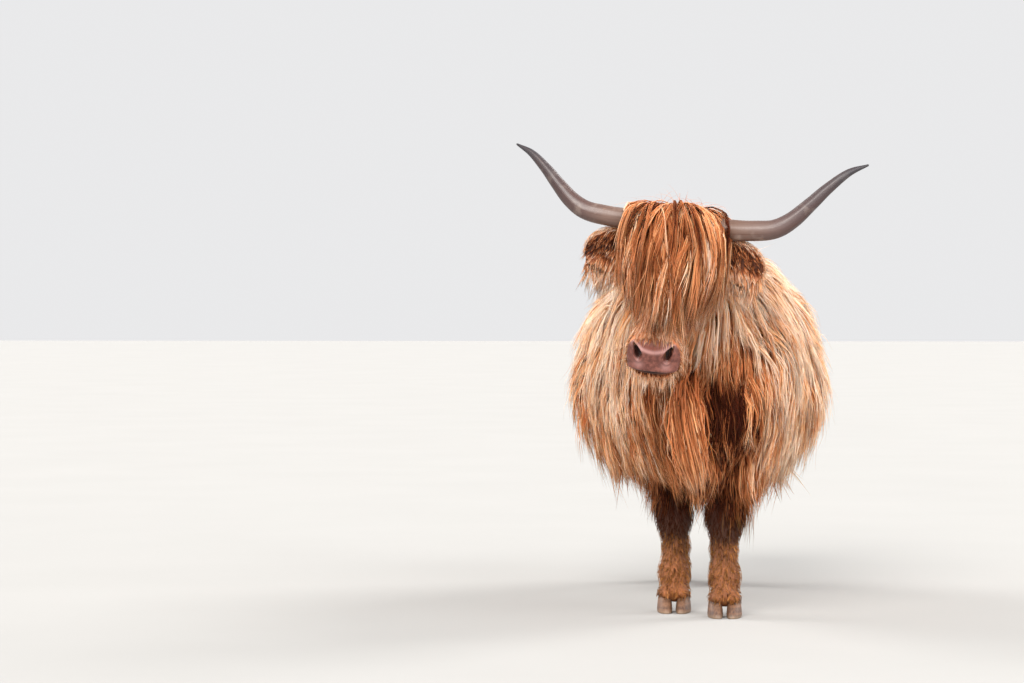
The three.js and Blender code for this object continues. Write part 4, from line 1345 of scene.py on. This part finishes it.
def bundle(roots, outs, line, steps, rng, ends):
    """Paths that leave their roots and run down inside a bundle along a line of places and half widths."""
    table = np.array([(i, *place, half) for i, (place, half) in enumerate(line)], float)
    reach = rng.uniform(*ends, len(roots))
    angle, spread = rng.uniform(0, 2 * np.pi, len(roots)), np.sqrt(rng.random(len(roots)))
    phase, swing = rng.uniform(0, 2 * np.pi, len(roots)), rng.normal(0, 0.012, len(roots))
    tuft = rng.integers(0, TUFTS, len(roots))
    angle += 0.5 * (rng.uniform(0, 2 * np.pi, TUFTS)[tuft] - angle)
    reach *= rng.uniform(0.82, 1.0, TUFTS)[tuft]
    sweep = rng.uniform(0, 2 * np.pi, TUFTS)[tuft]
    paths = [roots - ROOT_DEPTH * outs]
    for k in range(1, steps + 1):
        share = k / steps * reach
        spots = smooth_profile(table, share * (len(line) - 1))
        turned = angle + 0.9 * share
        across = np.stack([np.cos(turned), np.sin(turned), np.zeros(len(roots))], axis=1)
        sway = swing * np.sin(phase + 9 * share) + 0.010 * share * np.sin(sweep + 8 * share)
        target = HOME + spots[:, :3] + across * (spots[:, 3] * spread + sway)[:, None]
        drawn = eased(0.0, 0.34, share)[:, None]
        fall = roots + 0.03 * outs - np.outer(share * 0.3, (0, 0, 1))
        paths.append(fall * (1 - drawn) + target * drawn)
    return np.array(paths)


DEWLAP_LINE = [
    ((-0.050, -0.300, 0.800), 0.030),
    ((-0.044, -0.350, 0.720), 0.036),
    ((-0.038, -0.366, 0.610), 0.042),
    ((-0.026, -0.345, 0.510), 0.044),
    ((-0.014, -0.312, 0.430), 0.038),
    ((-0.006, -0.290, 0.370), 0.022),
]
SWITCH_LINE = [
    ((0.003, 1.270, 0.720), 0.016),
    ((0.005, 1.272, 0.600), 0.036),
    ((0.006, 1.273, 0.470), 0.046),
    ((0.008, 1.271, 0.330), 0.034),
    ((0.008, 1.269, 0.225), 0.008),
]
from_dewlap = np.linalg.norm((face_middles - HOME - (-0.03, -0.24, 0.76)) / (0.05, 0.12, 0.09), axis=1) < 1
from_tail = (middle_y > 1.22) & (middle_z < 0.74) & (np.abs(middle_x) < 0.05)
HANGING = {  # where it grows, its line, hairs, steps, marking, the shares of the line that hairs reach
    "dewlap_coat": (from_dewlap & ~on_head_faces, DEWLAP_LINE, 1000, 8, 0.64, (0.45, 1.0)),
    "tail_switch_coat": (from_tail, SWITCH_LINE, 800, 7, 0.50, (0.60, 1.0)),
}
for number, (name, (faces, line, count, steps, tone, ends)) in enumerate(HANGING.items()):
    rng = np.random.default_rng(40 + number)
    roots, outs = roots_on(np.flatnonzero(faces), count, rng)
    strands = bundle(roots, outs, line, steps, rng, ends)
    marking = [tone + rng.normal(0, 0.12, count)] * 2
    wide = 0.0052 * rng.uniform(0.6, 1.2, count)
    piece = strands_piece(name, strands, wide, marking, unwrap(roots, outs), 0.15, -0.24)
    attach(piece, "root")
    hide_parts(name.removesuffix("_coat"))

# ---- Eyes -----------------------------------------------------------------------------------
# A moist dark ball behind the lids: white at its rim, a brown iris with a wide level pupil, and a
# clear cornea that stands a little proud.
def eye_colour(nodes):
    """Coloured by the angle from the middle of the cornea, and by the rays of the iris."""
    from_middle = nodes.attribute("from_middle")
    rays = nodes.noise(nodes.unwrapped("rays"), 9.0, 3.0)
    iris = nodes.blend(rays, (70, 38, 22), (34, 18, 12))
    iris = nodes.blend(nodes.within(0.46, 0.54, from_middle), iris, (18, 10, 8))
    white = nodes.blend(nodes.within(0.56, 0.62, from_middle), iris, (188, 166, 152))
    return nodes.blend(nodes.attribute("pupil"), white, (6, 6, 9))


def closed_tube(rings, around, start=0):
    """A tube whose ends are fans to the two corners that follow its last ring."""
    faces = tube_faces(rings, around, start)
    last, bottom, top = start + (rings - 1) * around, start + rings * around, start + rings * around + 1
    for i in range(around):
        following = (i + 1) % around
        faces += [(start + following, start + i, bottom), (last + i, last + following, top)]
    return faces


def turn_faces_out(mesh):
    """Turns the faces of a mesh to look away from its inside."""
    shape = bmesh.new()
    shape.from_mesh(mesh)
    bmesh.ops.recalc_face_normals(shape, faces=shape.faces)
    shape.to_mesh(mesh)
    shape.free()


EYE = finish("eye", eye_colour, 0.06, **{"Coat Weight": 1.0, "Coat Roughness": 0.02, "IOR": 1.38})
EYE_ROUND, EYE_RINGS = 40, 28  # corners of a ring, and steps from the front to the back
for name, middle in EYE_PLACE.items():
    angles = np.linspace(0, 2 * np.pi, EYE_ROUND, endpoint=False)
    tilts = np.pi * np.linspace(0, 1, EYE_RINGS + 1)[1:-1] ** 1.3
    tilt, angle = np.repeat(tilts, EYE_ROUND), np.tile(angles, len(tilts))
    tilt, angle = np.append(tilt, (0, np.pi)), np.append(angle, (0, 0))
    radius = EYE_RADIUS - 0.0004 + 0.0010 * np.exp(-((tilt / 0.42) ** 4))
    local = np.stack([np.sin(tilt) * np.cos(angle), np.sin(tilt) * np.sin(angle), np.cos(tilt)], 1)
    corners = middle + radius[:, None] * (local @ EYE_LOOK[name])
    mesh = bpy.data.meshes.new(f"{name}_eyeball")
    mesh.from_pydata(corners.tolist(), [], closed_tube(len(tilts), EYE_ROUND))
    turn_faces_out(mesh)
    pupil = 1 - eased(0.85, 1.1, np.hypot(local[:, 0] / 0.30, local[:, 1] / 0.15))
    paint(mesh, "from_middle", tilt)
    paint(mesh, "pupil", np.where(local[:, 2] < 0, 0, pupil))
    vertex = np.empty(len(mesh.loops), np.int32)
    mesh.loops.foreach_get("vertex_index", vertex)
    rays = np.stack([np.cos(angle), np.sin(angle)], 1)[vertex]
    mesh.uv_layers.new(name="rays").uv.foreach_set("vector", rays.reshape(-1).astype(np.float32))
    eyeball = piece_of(mesh, EYE)
    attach(eyeball, "root")
    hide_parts(f"{name}_eye")

# ---- Lashes and whiskers --------------------------------------------------------------------
# Single stiff hairs: a curved row of ginger lashes on each upper lid, pale whiskers round the muzzle
# and under the chin, and fly-away hairs over the poll. Each grows from its own root and bends.
def bristle_tree(material):
    """Nodes that stand one bent hair on every point of a mesh, along the point's own direction."""
    tree = bpy.data.node_groups.new("bristles", "GeometryNodeTree")
    tree.interface.new_socket("Roots", in_out="INPUT", socket_type="NodeSocketGeometry")
    for size in ("Length", "Thickness", "Bend"):
        tree.interface.new_socket(size, in_out="INPUT", socket_type="NodeSocketFloat")
    tree.interface.new_socket("Seed", in_out="INPUT", socket_type="NodeSocketInt")
    tree.interface.new_socket("Bristles", in_out="OUTPUT", socket_type="NodeSocketGeometry")
    nodes = Nodes(tree)
    given = tree.nodes.new("NodeGroupInput")
    roots, length, thickness, bend, seed = (Tone(given.outputs[i]) for i in range(5))
    hair = nodes.node("GeometryNodeMeshCone", {"fill_type": "TRIANGLE_FAN"}, {
        "Vertices": 5, "Side Segments": 7, "Radius Top": 0.0, "Radius Bottom": thickness, "Depth": length,
    })
    height = nodes.height(nodes.node("GeometryNodeInputPosition"))
    aside = nodes.node("ShaderNodeCombineXYZ", None, {"X": bend * height * height})
    hair = nodes.node("GeometryNodeSetPosition", None, {"Geometry": hair, "Offset": aside})
    growth, curl = (
        nodes.node("GeometryNodeInputNamedAttribute", {"data_type": "FLOAT_VECTOR"}, {"Name": name})
        for name in ("growth", "curl")
    )
    turned = nodes.node("FunctionNodeAlignRotationToVector", {"axis": "Z"}, {"Vector": growth})
    about = {"axis": "X", "pivot_axis": "Z"}
    turned = nodes.node("FunctionNodeAlignRotationToVector", about, {"Rotation": turned, "Vector": curl})
    sockets = {2: 0.55, 3: 1.0, "Seed": seed}  # the least and the most of a single number
    size = nodes.node("FunctionNodeRandomValue", {"data_type": "FLOAT"}, sockets, out=1)
    points = nodes.node("GeometryNodeMeshToPoints", None, {"Mesh": roots})
    stood = nodes.node("GeometryNodeInstanceOnPoints", None, {
        "Points": points, "Instance": hair, "Rotation": turned, "Scale": size,
    })
    real = nodes.node("GeometryNodeRealizeInstances", None, {"Geometry": stood})
    painted = nodes.node("GeometryNodeSetMaterial", None, {"Geometry": real, "Material": material})
    tree.links.new(painted.socket, tree.nodes.new("NodeGroupOutput").inputs[0])
    return tree


def bristles(name, roots, growth, curl, marking, **sizes):
    """One piece of single hairs, grown by the tree and kept as a plain mesh. All bend towards curl."""
    mesh = bpy.data.meshes.new(name)
    mesh.from_pydata(roots.tolist(), [], [])
    for attribute, vectors in (("growth", growth), ("curl", np.tile(curl, (len(roots), 1)))):
        stored = mesh.attributes.new(attribute, "FLOAT_VECTOR", "POINT")
        stored.data.foreach_set("vector", vectors.reshape(-1).astype(np.float32))
    paint(mesh, "marking", marking)
    piece = bpy.data.objects.new(name, mesh)
    bpy.context.collection.objects.link(piece)
    modifier = piece.modifiers.new("bristles", "NODES")
    modifier.node_group = BRISTLE_TREE
    for socket in BRISTLE_TREE.interface.items_tree:
        if socket.name in sizes:
            modifier[socket.identifier] = sizes[socket.name]
    evaluated = piece.evaluated_get(bpy.context.evaluated_depsgraph_get())
    grown = bpy.data.meshes.new_from_object(evaluated)
    piece.modifiers.remove(modifier)
    piece.data = grown
    grown.shade_smooth()
    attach(piece, "root")
    return piece


BRISTLE_TREE = bristle_tree(finish("bristle", hair_colour, 0.42, **{"Specular IOR Level": 0.3}))
LASHES, WHISKERS, FLYAWAYS = 46, 130, 60
rng = np.random.default_rng(21)
for name, middle in EYE_PLACE.items():
    slit, up, look = EYE_LOOK[name]
    turns = np.linspace(0.10, 0.90, LASHES) * np.pi + rng.normal(0, 0.02, LASHES)
    aside, above = 0.0178 * np.cos(turns), 0.0116 * np.sin(turns)
    out = np.sqrt((EYE_RADIUS + 0.0022) ** 2 - aside**2 - above**2)
    roots = middle + np.outer(aside, slit) + np.outer(above, up) + np.outer(out, look)
    growth = unit(look + np.outer(0.9 * np.cos(turns), slit) + 0.25 * up + rng.normal(0, 0.10, (LASHES, 3)))
    lashes = bristles(
        f"{name}_lashes", roots, growth, up, rng.uniform(0.45, 0.75, LASHES),
        Length=0.030, Thickness=0.0005, Bend=14.0, Seed=3,
    )
muzzle = FACE_FACES & (head_spots[:, 1] > 0.40)
muzzle &= (np.abs(head_spots[:, 0]) < 0.11) & (head_spots[:, 2] < 0.03)
roots, outs = roots_on(np.flatnonzero(muzzle), WHISKERS, rng)
growth = unit(outs + 0.5 * LONG + rng.normal(0, 0.15, outs.shape))
whiskers = bristles(
    "whiskers", roots - ROOT_DEPTH * outs, growth, (0.0, 0.0, -1.0), rng.uniform(0.0, 0.35, WHISKERS),
    Length=0.058, Thickness=0.0005, Bend=5.0, Seed=5,
)
poll_top = np.flatnonzero(FORELOCK & (face_outs @ LONG < -0.4))
roots, outs = roots_on(poll_top, FLYAWAYS, rng)
growth = unit(0.45 * outs + np.outer(rng.normal(0, 0.8, FLYAWAYS), SIDE) + 0.5 * FACE)
flyaways = bristles(
    "flyaway_hairs", roots - ROOT_DEPTH * outs, growth, FACE + (0, 0, -1.0), rng.uniform(0.15, 0.6, FLYAWAYS),
    Length=0.160, Thickness=0.0006, Bend=9.0, Seed=9,
)

# ---- Horns ----------------------------------------------------------------------------------
# Each horn is a sheath of grey-brown horn. It leaves the poll level, bends up past its middle and
# eases outwards to a dark tip. Growth rings crowd its base.
HORNS = {
    "left": {"side": 1, "reach": 0.530, "climb": 0.226, "forward": 0.055},
    "right": {"side": -1, "reach": 0.508, "climb": 0.182, "forward": 0.048},
}
HORN_PATH = [  # share of the reach, share of the climb, radius
    (0.10, 0.00, 0.0310),
    (0.30, -0.02, 0.0302),
    (0.43, 0.00, 0.0295),
    (0.54, 0.05, 0.0280),
    (0.63, 0.19, 0.0250),
    (0.72, 0.42, 0.0205),
    (0.80, 0.64, 0.0165),
    (0.90, 0.87, 0.0110),
    (1.00, 1.00, 0.0030),
]
HORN_RINGS, HORN_ROUND = 150, 40  # rings, and corners of a ring


def horn_colour(nodes):
    """Pale at the base, mauve-grey along the middle and slate at the tip, with long fibres."""
    along = nodes.attribute("along")
    fibres = nodes.noise(nodes.scaled(nodes.unwrapped("round"), (34.0, 3.0, 1.0)), 1.0, 5.0, 0.6)
    clouds = nodes.noise(nodes.place(), 26.0, 4.0)
    colour = nodes.node("ShaderNodeValToRGB", {"ramp": [
        (0.00, (96, 67, 50)),
        (0.22, (102, 79, 69)),
        (0.40, (80, 59, 55)),
        (0.58, (62, 44, 43)),
        (0.78, (52, 42, 44)),
        (0.93, (42, 40, 46)),
        (1.00, (30, 30, 36)),
    ]}, {"Fac": along + (clouds - 0.5) * 0.18})
    colour = nodes.blend(0.65 * nodes.within(0.50, 0.66, fibres), colour, (76, 46, 36))
    return nodes.blend(0.40 * (1 - along) * nodes.within(0.54, 0.72, clouds), colour, (164, 146, 134))


def horn_relief(nodes):
    """Long fibres and fine grain."""
    fibres = nodes.noise(nodes.scaled(nodes.unwrapped("round"), (60.0, 4.0, 1.0)), 1.0, 3.0)
    return fibres + nodes.noise(nodes.place(), 160.0, 2.0) * 0.4


HORN = finish(
    "horn",
    horn_colour,
    lambda nodes: 0.34 + 0.22 * nodes.noise(nodes.place(), 60.0, 3.0),
    bump=horn_relief,
    bump_depth=0.0005,
    **{"Coat Weight": 0.12, "Coat Roughness": 0.3},
)
HORN_BACK = 0.022  # how far behind the poll the horns leave it
GROWTH_RINGS, SLOW_SWELLS = 46, 7.3  # along a whole horn
HEAD_UP = turn @ (0, 0, 1)
for name, horn in HORNS.items():
    table = np.column_stack([np.linspace(0, 1, len(HORN_PATH)), HORN_PATH])
    shares = 1 - (1 - np.linspace(0, 1, HORN_RINGS)) ** 1.15
    out, up, radius = smooth_profile(table, shares).T
    middles = np.array([
        level_on_head(x, HORN_BACK - horn["forward"] * math.sin(math.pi * share), z)
        for share, x, z in zip(out, horn["side"] * horn["reach"] * out, horn["climb"] * up)
    ])
    run = unit(np.gradient(middles, axis=0))
    upright = unit(HEAD_UP - run * (run @ HEAD_UP)[:, None])
    across = np.cross(run, upright)
    growth = 1 + 0.016 * np.exp(-shares / 0.30) * np.sin(2 * np.pi * GROWTH_RINGS * shares**0.85)
    growth += 0.008 * np.sin(2 * np.pi * SLOW_SWELLS * shares + 1) * (1 - shares)
    angles = np.linspace(0, 2 * np.pi, HORN_ROUND + 1)[:-1]
    rings = []
    for i, share in enumerate(shares):
        flute = 1 + 0.012 * np.sin(5 * angles + 9 * share) + 0.008 * np.sin(11 * angles - 4 * share)
        size = radius[i] * growth[i] * flute
        ring = np.outer(0.95 * size * np.cos(angles), across[i]) + np.outer(size * np.sin(angles), upright[i])
        rings.append(middles[i] + ring)
    tip = middles[-1] + 0.0035 * run[-1]
    corners = np.concatenate([*rings, [middles[0], tip]])
    strips = [(i / HORN_ROUND, (i + 1) / HORN_ROUND) for i in range(HORN_ROUND)]
    round_map = []
    for low, high in zip(shares, shares[1:]):
        for left, right in strips:
            round_map += [(left, low), (right, low), (right, high), (left, high)]
    for left, right in strips:
        round_map += [(0, 0), (0, 0), (0, 0), (left, 1), (right, 1), (left, 1)]
    mesh = bpy.data.meshes.new(f"{name}_horn_sheath")
    mesh.from_pydata(corners.tolist(), [], closed_tube(HORN_RINGS, HORN_ROUND))
    mesh.uv_layers.new(name="round").uv.foreach_set("vector", np.array(round_map, np.float32).reshape(-1))
    if horn["side"] < 0:
        mesh.flip_normals()
    paint(mesh, "along", np.append(np.repeat(shares, HORN_ROUND), (0, 1)))
    sheath = piece_of(mesh, HORN)
    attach(sheath, "root")
    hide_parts(f"{name}_horn")

# ---- Hooves ---------------------------------------------------------------------------------
# Two claws of dark horn on each foot, ridged by growth and worn flat below, and behind them two
# small dewclaws. Each claw grows down from the coronet under the hair of the pastern.
CLAW_APART = 0.027  # from the midline of the foot to that of a claw
CLAW_ROUND = 32  # corners of a ring
CLAW_STATIONS = [  # height, half width, reach to the toe, reach to the heel, place back
    (0.000, 0.0225, 0.0600, 0.0465, 0.000),
    (0.004, 0.0240, 0.0600, 0.0475, 0.000),
    (0.021, 0.0240, 0.0520, 0.0460, 0.002),
    (0.043, 0.0215, 0.0385, 0.0370, 0.008),
    (0.058, 0.0190, 0.0290, 0.0280, 0.012),
    (0.068, 0.0120, 0.0150, 0.0150, 0.014),
]


def hoof_colour(nodes):
    """Grey-brown horn in level bands, paler where it is worn at the ground."""
    where = nodes.place()
    bands = nodes.noise(nodes.scaled(where, (6.0, 6.0, 90.0)), 1.0)
    grain = nodes.noise(nodes.scaled(where, (160.0, 160.0, 14.0)), 1.0)
    colour = nodes.blend(nodes.within(0.35, 0.65, bands), (104, 70, 48), (70, 46, 34))
    colour = nodes.blend(0.5 * nodes.within(0.4, 0.7, grain), colour, (134, 98, 72))
    return nodes.blend(0.55 * nodes.within(0.016, 0.0, nodes.height(where)), colour, (150, 128, 106))


def hoof_relief(nodes):
    """Narrow level bands and fine grain."""
    bands = nodes.noise(nodes.scaled(nodes.place(), (5.0, 5.0, 240.0)), 1.0)
    return bands + nodes.noise(nodes.place(), 300.0, 3.0) * 0.3


HOOF = finish(
    "hoof",
    hoof_colour,
    lambda nodes: 0.5 + 0.2 * nodes.noise(nodes.place(), 80.0),
    bump=hoof_relief,
    bump_depth=0.0007,
)


def claw_rings(foot, side):
    """The corners of one claw, ring by ring from the sole up."""
    heights = np.array([0.0, 0.0012, 0.004, *np.linspace(0.008, 0.068, 18)])
    half, toe, heel, back = smooth_profile(CLAW_STATIONS, heights).T
    half, toe, heel = (size * np.where(heights < 0.0005, 0.96, 1.0) for size in (half, toe, heel))
    angles = np.linspace(0, 2 * np.pi, CLAW_ROUND, endpoint=False)
    ridge = 1 + 0.010 * np.sin(heights * 620) * (heights > 0.006)
    rings = []
    for z, w, t, h, b, r in zip(heights, half, toe, heel, back, ridge):
        across = np.sign(np.cos(angles)) * np.abs(np.cos(angles)) ** 0.82
        inner = np.where(across * side < 0, 0.86, 1.04)
        lengthwise = np.sin(angles) * np.where(np.sin(angles) > 0, h, t)
        x = across * w * inner * r - side * 0.0030 * (lengthwise / t) ** 2 * (lengthwise < 0)
        rings.append(np.stack([x, lengthwise * r + b, np.full(CLAW_ROUND, z)], axis=1))
    x, y, z = np.moveaxis(np.array(rings), -1, 0)
    lean = side * -0.06
    spun = np.stack([
        x * math.cos(lean) - y * math.sin(lean),
        x * math.sin(lean) + y * math.cos(lean),
        z,
    ], axis=-1)
    return spun + HOME + (foot[0] + side * CLAW_APART, foot[1], 0)


def dewclaw_rings(foot, side):
    """The corners of one dewclaw, from its buried root down to its blunt point."""
    angles = np.linspace(0, 2 * np.pi, CLAW_ROUND, endpoint=False)
    middle = HOME + (foot[0] + side * 0.021, foot[1] + 0.082, 0.092)
    down = unit(np.array([0, 0.48, -0.88]))
    back = np.cross((1, 0, 0), down)
    rings = []
    for share in np.linspace(0.04, 0.96, 12):
        size = math.sqrt(math.sin(math.pi * share)) * (1 + 0.02 * math.sin(share * 60))
        ring = np.outer(0.0115 * size * np.cos(angles), (1, 0, 0))
        ring += np.outer(0.0135 * size * np.sin(angles), back)
        rings.append(middle + down * 0.0185 * (2 * share - 1) + ring)
    return np.array(rings)


for leg, foot in {**FORE_FEET, **HIND_FEET}.items():
    corners, faces = [], []
    for rings in [one_kind(foot, side) for one_kind in (claw_rings, dewclaw_rings) for side in (1, -1)]:
        faces += closed_tube(len(rings), CLAW_ROUND, len(corners))
        corners += [*rings.reshape(-1, 3), rings[0].mean(axis=0), rings[-1].mean(axis=0)]
    mesh = bpy.data.meshes.new(f"{leg}_hoof")
    mesh.from_pydata(np.array(corners).tolist(), [], faces)
    turn_faces_out(mesh)
    hoof = piece_of(mesh, HOOF)
    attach(hoof, "root")
    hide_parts(*[f"{leg}_{row}_{kind}" for row in ("outer", "inner") for kind in ("claw", "dewclaw")])

# ---- Floor, light and camera ----------------------------------------------------------------
# A plain pale floor under a pale sky, a large soft key light, a fill, and two lights from behind.
FLOOR_HALF = 60
scene = bpy.context.scene
floor_mesh = bpy.data.meshes.new("floor")
floor_corners = [(FLOOR_HALF * x, FLOOR_HALF * y, 0) for x, y in ((-1, -1), (1, -1), (1, 1), (-1, 1))]
floor_mesh.from_pydata(floor_corners, [], [(0, 1, 2, 3)])
floor_mesh.materials.append(finish(
    "floor",
    lambda nodes: nodes.blend(nodes.noise(nodes.place(), 1.2), (158, 157, 155), (164, 163, 161)),
    0.85,
))
floor = bpy.data.objects.new("floor", floor_mesh)
scene.collection.objects.link(floor)
sky = bpy.data.worlds.new("studio")
sky.use_nodes = True
sky_nodes = Nodes(sky.node_tree)
seen = sky_nodes.node("ShaderNodeLightPath") * 0.14 + 0.74  # paler where it is looked at than as light
sky.node_tree.links.new(seen.socket, sky.node_tree.nodes["Background"].inputs["Strength"])
sky.node_tree.nodes["Background"].inputs["Color"].default_value = (0.93, 0.93, 0.94, 1)
scene.world = sky


def soft_sun(name, towards, softness, strength, colour):
    """Even light from a wide patch of sky. towards is the way that the light travels."""
    lamp = bpy.data.lights.new(name, "SUN")
    lamp.angle, lamp.energy, lamp.color = math.radians(softness), strength, colour
    light = bpy.data.objects.new(name, lamp)
    scene.collection.objects.link(light)
    light.rotation_euler = Vector(towards).to_track_quat("-Z", "Y").to_euler()


soft_sun("key", (0.25, 1.0, -0.68), 35, 4.1, (1.0, 0.97, 0.93))
soft_sun("fill", (-0.8, 0.8, -0.40), 60, 2.4, (1.0, 0.98, 0.97))
soft_sun("rim_left", (-0.85, -0.60, -0.7), 30, 2.4, (1.0, 0.98, 0.95))
soft_sun("rim_right", (0.90, -0.45, -0.6), 30, 2.2, (1.0, 0.98, 0.95))

FOCAL_LENGTH, DEGREES_DOWN, DEGREES_ASIDE = 102.8, 0.81, 3.68
lens = bpy.data.cameras.new("camera")
lens.lens, lens.sensor_width, lens.clip_end = FOCAL_LENGTH, 36.0, 200.0
camera = bpy.data.objects.new("camera", lens)
scene.collection.objects.link(camera)
camera.location = HOME + (0.0, -9.0, 0.97)
camera.rotation_euler = (math.radians(90 - DEGREES_DOWN), 0, math.radians(DEGREES_ASIDE))
scene.camera = camera
scene.view_settings.view_transform = "Standard"
